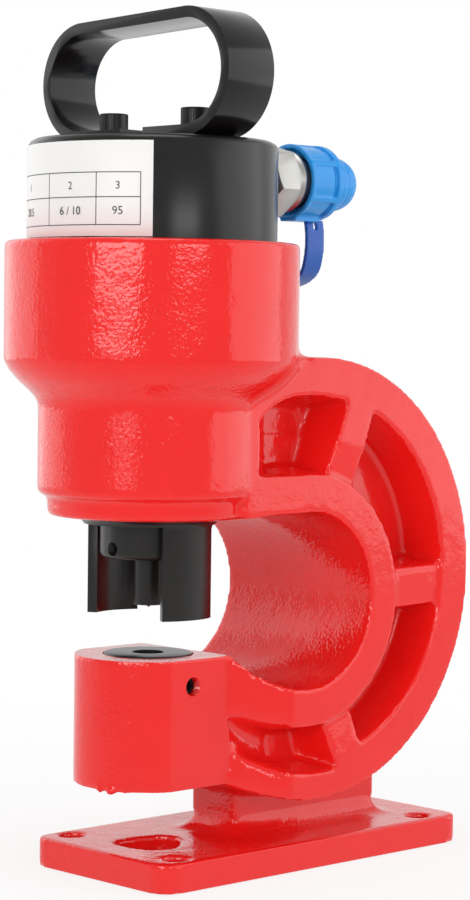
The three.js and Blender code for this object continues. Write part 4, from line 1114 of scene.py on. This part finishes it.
class HOLEPUNCH_OT_die(Piece, bpy.types.Operator):
    """Builds the die in the anvil and its set screw"""

    bl_idname = "hole_punch.die"
    bl_label = "Die"

    def build(self, settings):
        size = settings.tool
        radius, hole = size.die_radius / MM, size.punch_radius / MM + 0.15
        die = turn([
            (8.5, 76.6), (radius, 76.6), (radius, 98.2), (radius - 0.3, 98.9), (radius - 1, 99.2),
            (hole + 0.2, 99.2), (hole, 99), (hole, 93.2), (8.5, 93.2),
        ])
        black = blackened_steel(settings.tool.black, "Z", "blackened_die_steel", 0.3)
        finish(die, "hardened_die", "body", ["die"], black)
        screw = set_screw(4, 6, "Y", at(0, -26.37, DIE_SCREW_Z))
        steel = blackened_steel(settings.tool.black, "", "blackened_set_screw", 0.35)
        finish(screw, "die_grub_screw", "body", ["die_set_screw"], steel)


class HOLEPUNCH_OT_piston(Piece, bpy.types.Operator):
    """Builds the piston and the rings in its grooves"""

    bl_idname = "hole_punch.piston"
    bl_label = "Piston"

    def build(self, settings):
        size = settings.tool
        steel = machined_metal("ground_piston_steel", size.steel, 0.28)
        bronze = machined_metal("bronze_filled_ring", size.bronze, 0.4)
        rubber = moulded_plastic("piston_seal_rubber", size.rubber, "232428", 0.6)
        body = turn([
            (0, 286.7), (14.1, 286.7), (14.1, 271.4), (36.2, 271.4), (37.4, 272.6), (37.4, 277.4),
            (35, 277.4), (35, 285.4), (37.4, 285.4), (37.4, 288.9), (33.2, 288.9), (33.2, 295.9),
            (37.4, 295.9), (37.4, 298.2), (36.2, 299.4), (0, 299.4),
        ])
        soften(body, 0.2, 2, 40)
        finish(body, "ground_piston", "ram", ["piston"], steel)
        seal = turn([
            (33.3, 291), (37.3, 291), (37.4, 291.3), (37.1, 295), (35.8, 295.8), (35.2, 294), (34.6, 295.8),
            (33.3, 295.2),
        ])
        finish(seal, "lip_seal", "ram", ["piston_seal"], rubber)
        backup = soften(turn(ring(33.3, 37.4, 289, 290.8)), 0.2)
        finish(backup, "backup_ring", "ram", ["piston_backup_ring"], bronze)
        wear = soften(turn(ring(35.1, 37.4, 277.5, 285.3)), 0.2)
        finish(wear, "wear_ring", "ram", ["piston_wear_ring"], bronze)


# The level way from the tool to the camera, and its turn from the X axis
TO_CAMERA, CAMERA_TURN = (-0.668, -0.744, 0), -131.9


class HOLEPUNCH_OT_stage(Piece, bpy.types.Operator):
    """Sets up the camera, the pale floor and the soft studio lights"""

    bl_idname = "hole_punch.stage"
    bl_label = "Stage"

    # Turn, pitch and roll of the camera in degrees, the place that the lights are turned to, and
    # the floor's size and its gap below the base plate in metres
    aim, lit_place = (-43.832, 2.623, 0.723), Vector((0, 0, 0.25))
    floor_size, floor_gap = 12, 0.0004
    # Turn to the right of the camera, reach, height of the foot, width, height and power
    lamps = {
        "key_softbox": (-27, 1.5, 0.29, 0.9, 0.45, 6.6),
        "low_softbox": (-27, 1.5, 0.1, 0.5, 0.05, 0.3),
        "fill_softbox": (27, 1.5, 0.36, 0.6, 0.3, 2.4),
        "left_softbox": (-124, 1.35, 0.02, 1.5, 1.1, 4.4),
        "right_softbox": (88, 1.35, 0.02, 1.5, 1.1, 6.2),
        "top_softbox": (0, 0.15, 1.45, 0.9, 0.9, 7),
    }

    def lamp(self, name, turned, reach, low, width, height, watts):
        turned = math.radians(turned + CAMERA_TURN)
        place = Vector((reach * math.cos(turned), reach * math.sin(turned), low + height / 2))
        object_mode()
        bpy.ops.object.light_add(type="AREA", location=place)
        lamp = bpy.context.object
        lamp.name = name
        lamp.visible_camera = False
        lamp.data.shape = "RECTANGLE"
        lamp.data.size, lamp.data.size_y, lamp.data.energy = width, height, watts
        lamp.rotation_mode = "QUATERNION"
        lamp.rotation_quaternion = (self.lit_place - place).to_track_quat("-Z", "Y")

    def build(self, settings):
        stage = settings.stage
        object_mode()
        bpy.ops.object.camera_add(location=stage.camera)
        camera = bpy.context.object
        camera.name = "photo_camera"
        turned, down, roll = (math.radians(degrees) for degrees in self.aim)
        back = Vector((math.sin(turned), -math.cos(turned), 0))
        forward = -back * math.cos(down) - Z * math.sin(down)
        camera.rotation_mode = "QUATERNION"
        rolled = Matrix.Rotation(roll, 3, "Z").to_quaternion()
        camera.rotation_quaternion = forward.to_track_quat("-Z", "Y") @ rolled
        camera.data.lens, camera.data.sensor_width = stage.lens, 36
        camera.data.clip_start, camera.data.clip_end = 0.01, 20
        bpy.context.scene.camera = camera
        bpy.ops.mesh.primitive_plane_add(size=self.floor_size, location=(0, 0, -self.floor_gap))
        floor = bpy.context.object
        floor.name = "floor"
        floor.data.materials.append(self.floor_material(stage.floor))
        for name, lamp in self.lamps.items():
            self.lamp(name, *lamp)
        self.world()
        bpy.context.scene.view_settings.view_transform = "Standard"

    @staticmethod
    def floor_material(value):
        """Matt white paper sweep: pale, flat, and lit white where the camera sees it. In gloss it glows too,
        dimmer on the camera's side, as a painted reflection of the darker room behind the camera.
        """
        material, tree, place = new_material("white_paper_sweep")
        tint = clouded(tree, place, 25, 3.0, value, "FBFBFB")[1]
        dress(material, Base_Color=tint, Roughness=0.9, Specular_IOR_Level=0.1)
        path = add(tree, "ShaderNodeLightPath").node.outputs
        away = add(tree, "ShaderNodeVectorMath", {0: place, 1: (0.02, 0, 0)}, operation="DISTANCE")
        share = add(tree, "ShaderNodeMapRange", {
            "Value": away, "From Min": 0.12, "From Max": 0.5, "To Min": 0.8, "To Max": 1.0,
        })
        # Painted reflection: glossy rays see the floor glow, dimmer towards the camera, in place of a darker
        # room.
        front = add(tree, "ShaderNodeVectorMath", {0: place, 1: TO_CAMERA}, operation="DOT_PRODUCT")
        dim = add(tree, "ShaderNodeMapRange", {
            "Value": front, "From Min": 0.0, "From Max": 0.5, "To Min": 0.95, "To Max": 0.6,
        })
        seen, glossy, through = (path[f"Is {kind} Ray"] for kind in ("Camera", "Glossy", "Transmission"))
        mirrored = add(tree, "ShaderNodeMath", {0: glossy, 1: through}, operation="MAXIMUM")
        shown = add(tree, "ShaderNodeMath", {0: seen, 1: share}, operation="MULTIPLY")
        part = add(tree, "ShaderNodeMath", {0: shown, 1: mirrored}, operation="MAXIMUM")
        strength = add(tree, "ShaderNodeMath", {0: seen, 1: dim}, operation="MAXIMUM")
        glow = add(tree, "ShaderNodeEmission", {"Color": (1, 1, 1, 1), "Strength": strength})
        paper = tree.nodes["Principled BSDF"].outputs["BSDF"]
        mix = add(tree, "ShaderNodeMixShader", {0: part, 1: paper, 2: glow})
        feed(tree, tree.nodes["Material Output"], {"Surface": mix})
        return material

    @staticmethod
    def world():
        """A white studio, whose side behind the photographer mirrors dimmer in gloss."""
        world = bpy.data.worlds.new("white_studio")
        bpy.context.scene.world = world
        world.use_nodes = True
        tree = world.node_tree
        tree.nodes.clear()
        path = add(tree, "ShaderNodeLightPath").node.outputs
        way = add(tree, "ShaderNodeTexCoord", out="Generated")
        front = add(tree, "ShaderNodeVectorMath", {0: way, 1: TO_CAMERA}, operation="DOT_PRODUCT")
        dim = add(tree, "ShaderNodeMapRange", {
            "Value": front, "From Min": -0.95, "From Max": 0.3, "To Min": 1.0, "To Max": 0.57,
        })
        seen, glossy, through = (path[f"Is {kind} Ray"] for kind in ("Camera", "Glossy", "Transmission"))
        mirrored = add(tree, "ShaderNodeMath", {0: glossy, 1: dim}, operation="MULTIPLY")
        shown = add(tree, "ShaderNodeMath", {0: seen, 1: through}, operation="MAXIMUM")
        lit = add(tree, "ShaderNodeMath", {0: mirrored, 1: 0.52}, operation="MAXIMUM")
        strength = add(tree, "ShaderNodeMath", {0: shown, 1: lit}, operation="MAXIMUM")
        back = add(tree, "ShaderNodeBackground", {"Color": (1, 1, 1, 1), "Strength": strength})
        add(tree, "ShaderNodeOutputWorld", {"Surface": back})


PIECES = (
    HOLEPUNCH_OT_casting, HOLEPUNCH_OT_barrel, HOLEPUNCH_OT_name_plate, HOLEPUNCH_OT_handle,
    HOLEPUNCH_OT_handle_screws, HOLEPUNCH_OT_coupler, HOLEPUNCH_OT_springs, HOLEPUNCH_OT_dust_cap,
    HOLEPUNCH_OT_tether, HOLEPUNCH_OT_stripper, HOLEPUNCH_OT_ram, HOLEPUNCH_OT_die,
    HOLEPUNCH_OT_piston, HOLEPUNCH_OT_stage,
)


class HOLEPUNCH_PT_panel(bpy.types.Panel):
    """Lists the hole punch's pieces and sizes"""

    bl_idname = "HOLEPUNCH_PT_panel"
    bl_label = "Hole punch"
    bl_space_type = "VIEW_3D"
    bl_region_type = "UI"
    bl_category = "Hole punch"

    def draw(self, context):
        for operator in PIECES:
            self.layout.operator(operator.bl_idname)
        settings = context.scene.hole_punch
        for group in (settings.casting, settings.cylinder, settings.coupler, settings.tool, settings.stage):
            box = self.layout.box()
            for name in group.__annotations__:
                box.prop(group, name)


CLASSES = (
    CastingSizes, CylinderSizes, CouplerSizes, ToolSizes, StageSizes, HolePunchSettings, *PIECES,
    HOLEPUNCH_PT_panel,
)


def register():
    for kind in CLASSES:
        bpy.utils.register_class(kind)
    bpy.types.Scene.hole_punch = PointerProperty(type=HolePunchSettings)


def unregister():
    del bpy.types.Scene.hole_punch
    for kind in reversed(CLASSES):
        bpy.utils.unregister_class(kind)


def main():
    register()
    object_mode()
    for operator in PIECES:
        getattr(bpy.ops.hole_punch, operator.bl_idname.split(".")[1])()


if __name__ == "__main__":
    main()
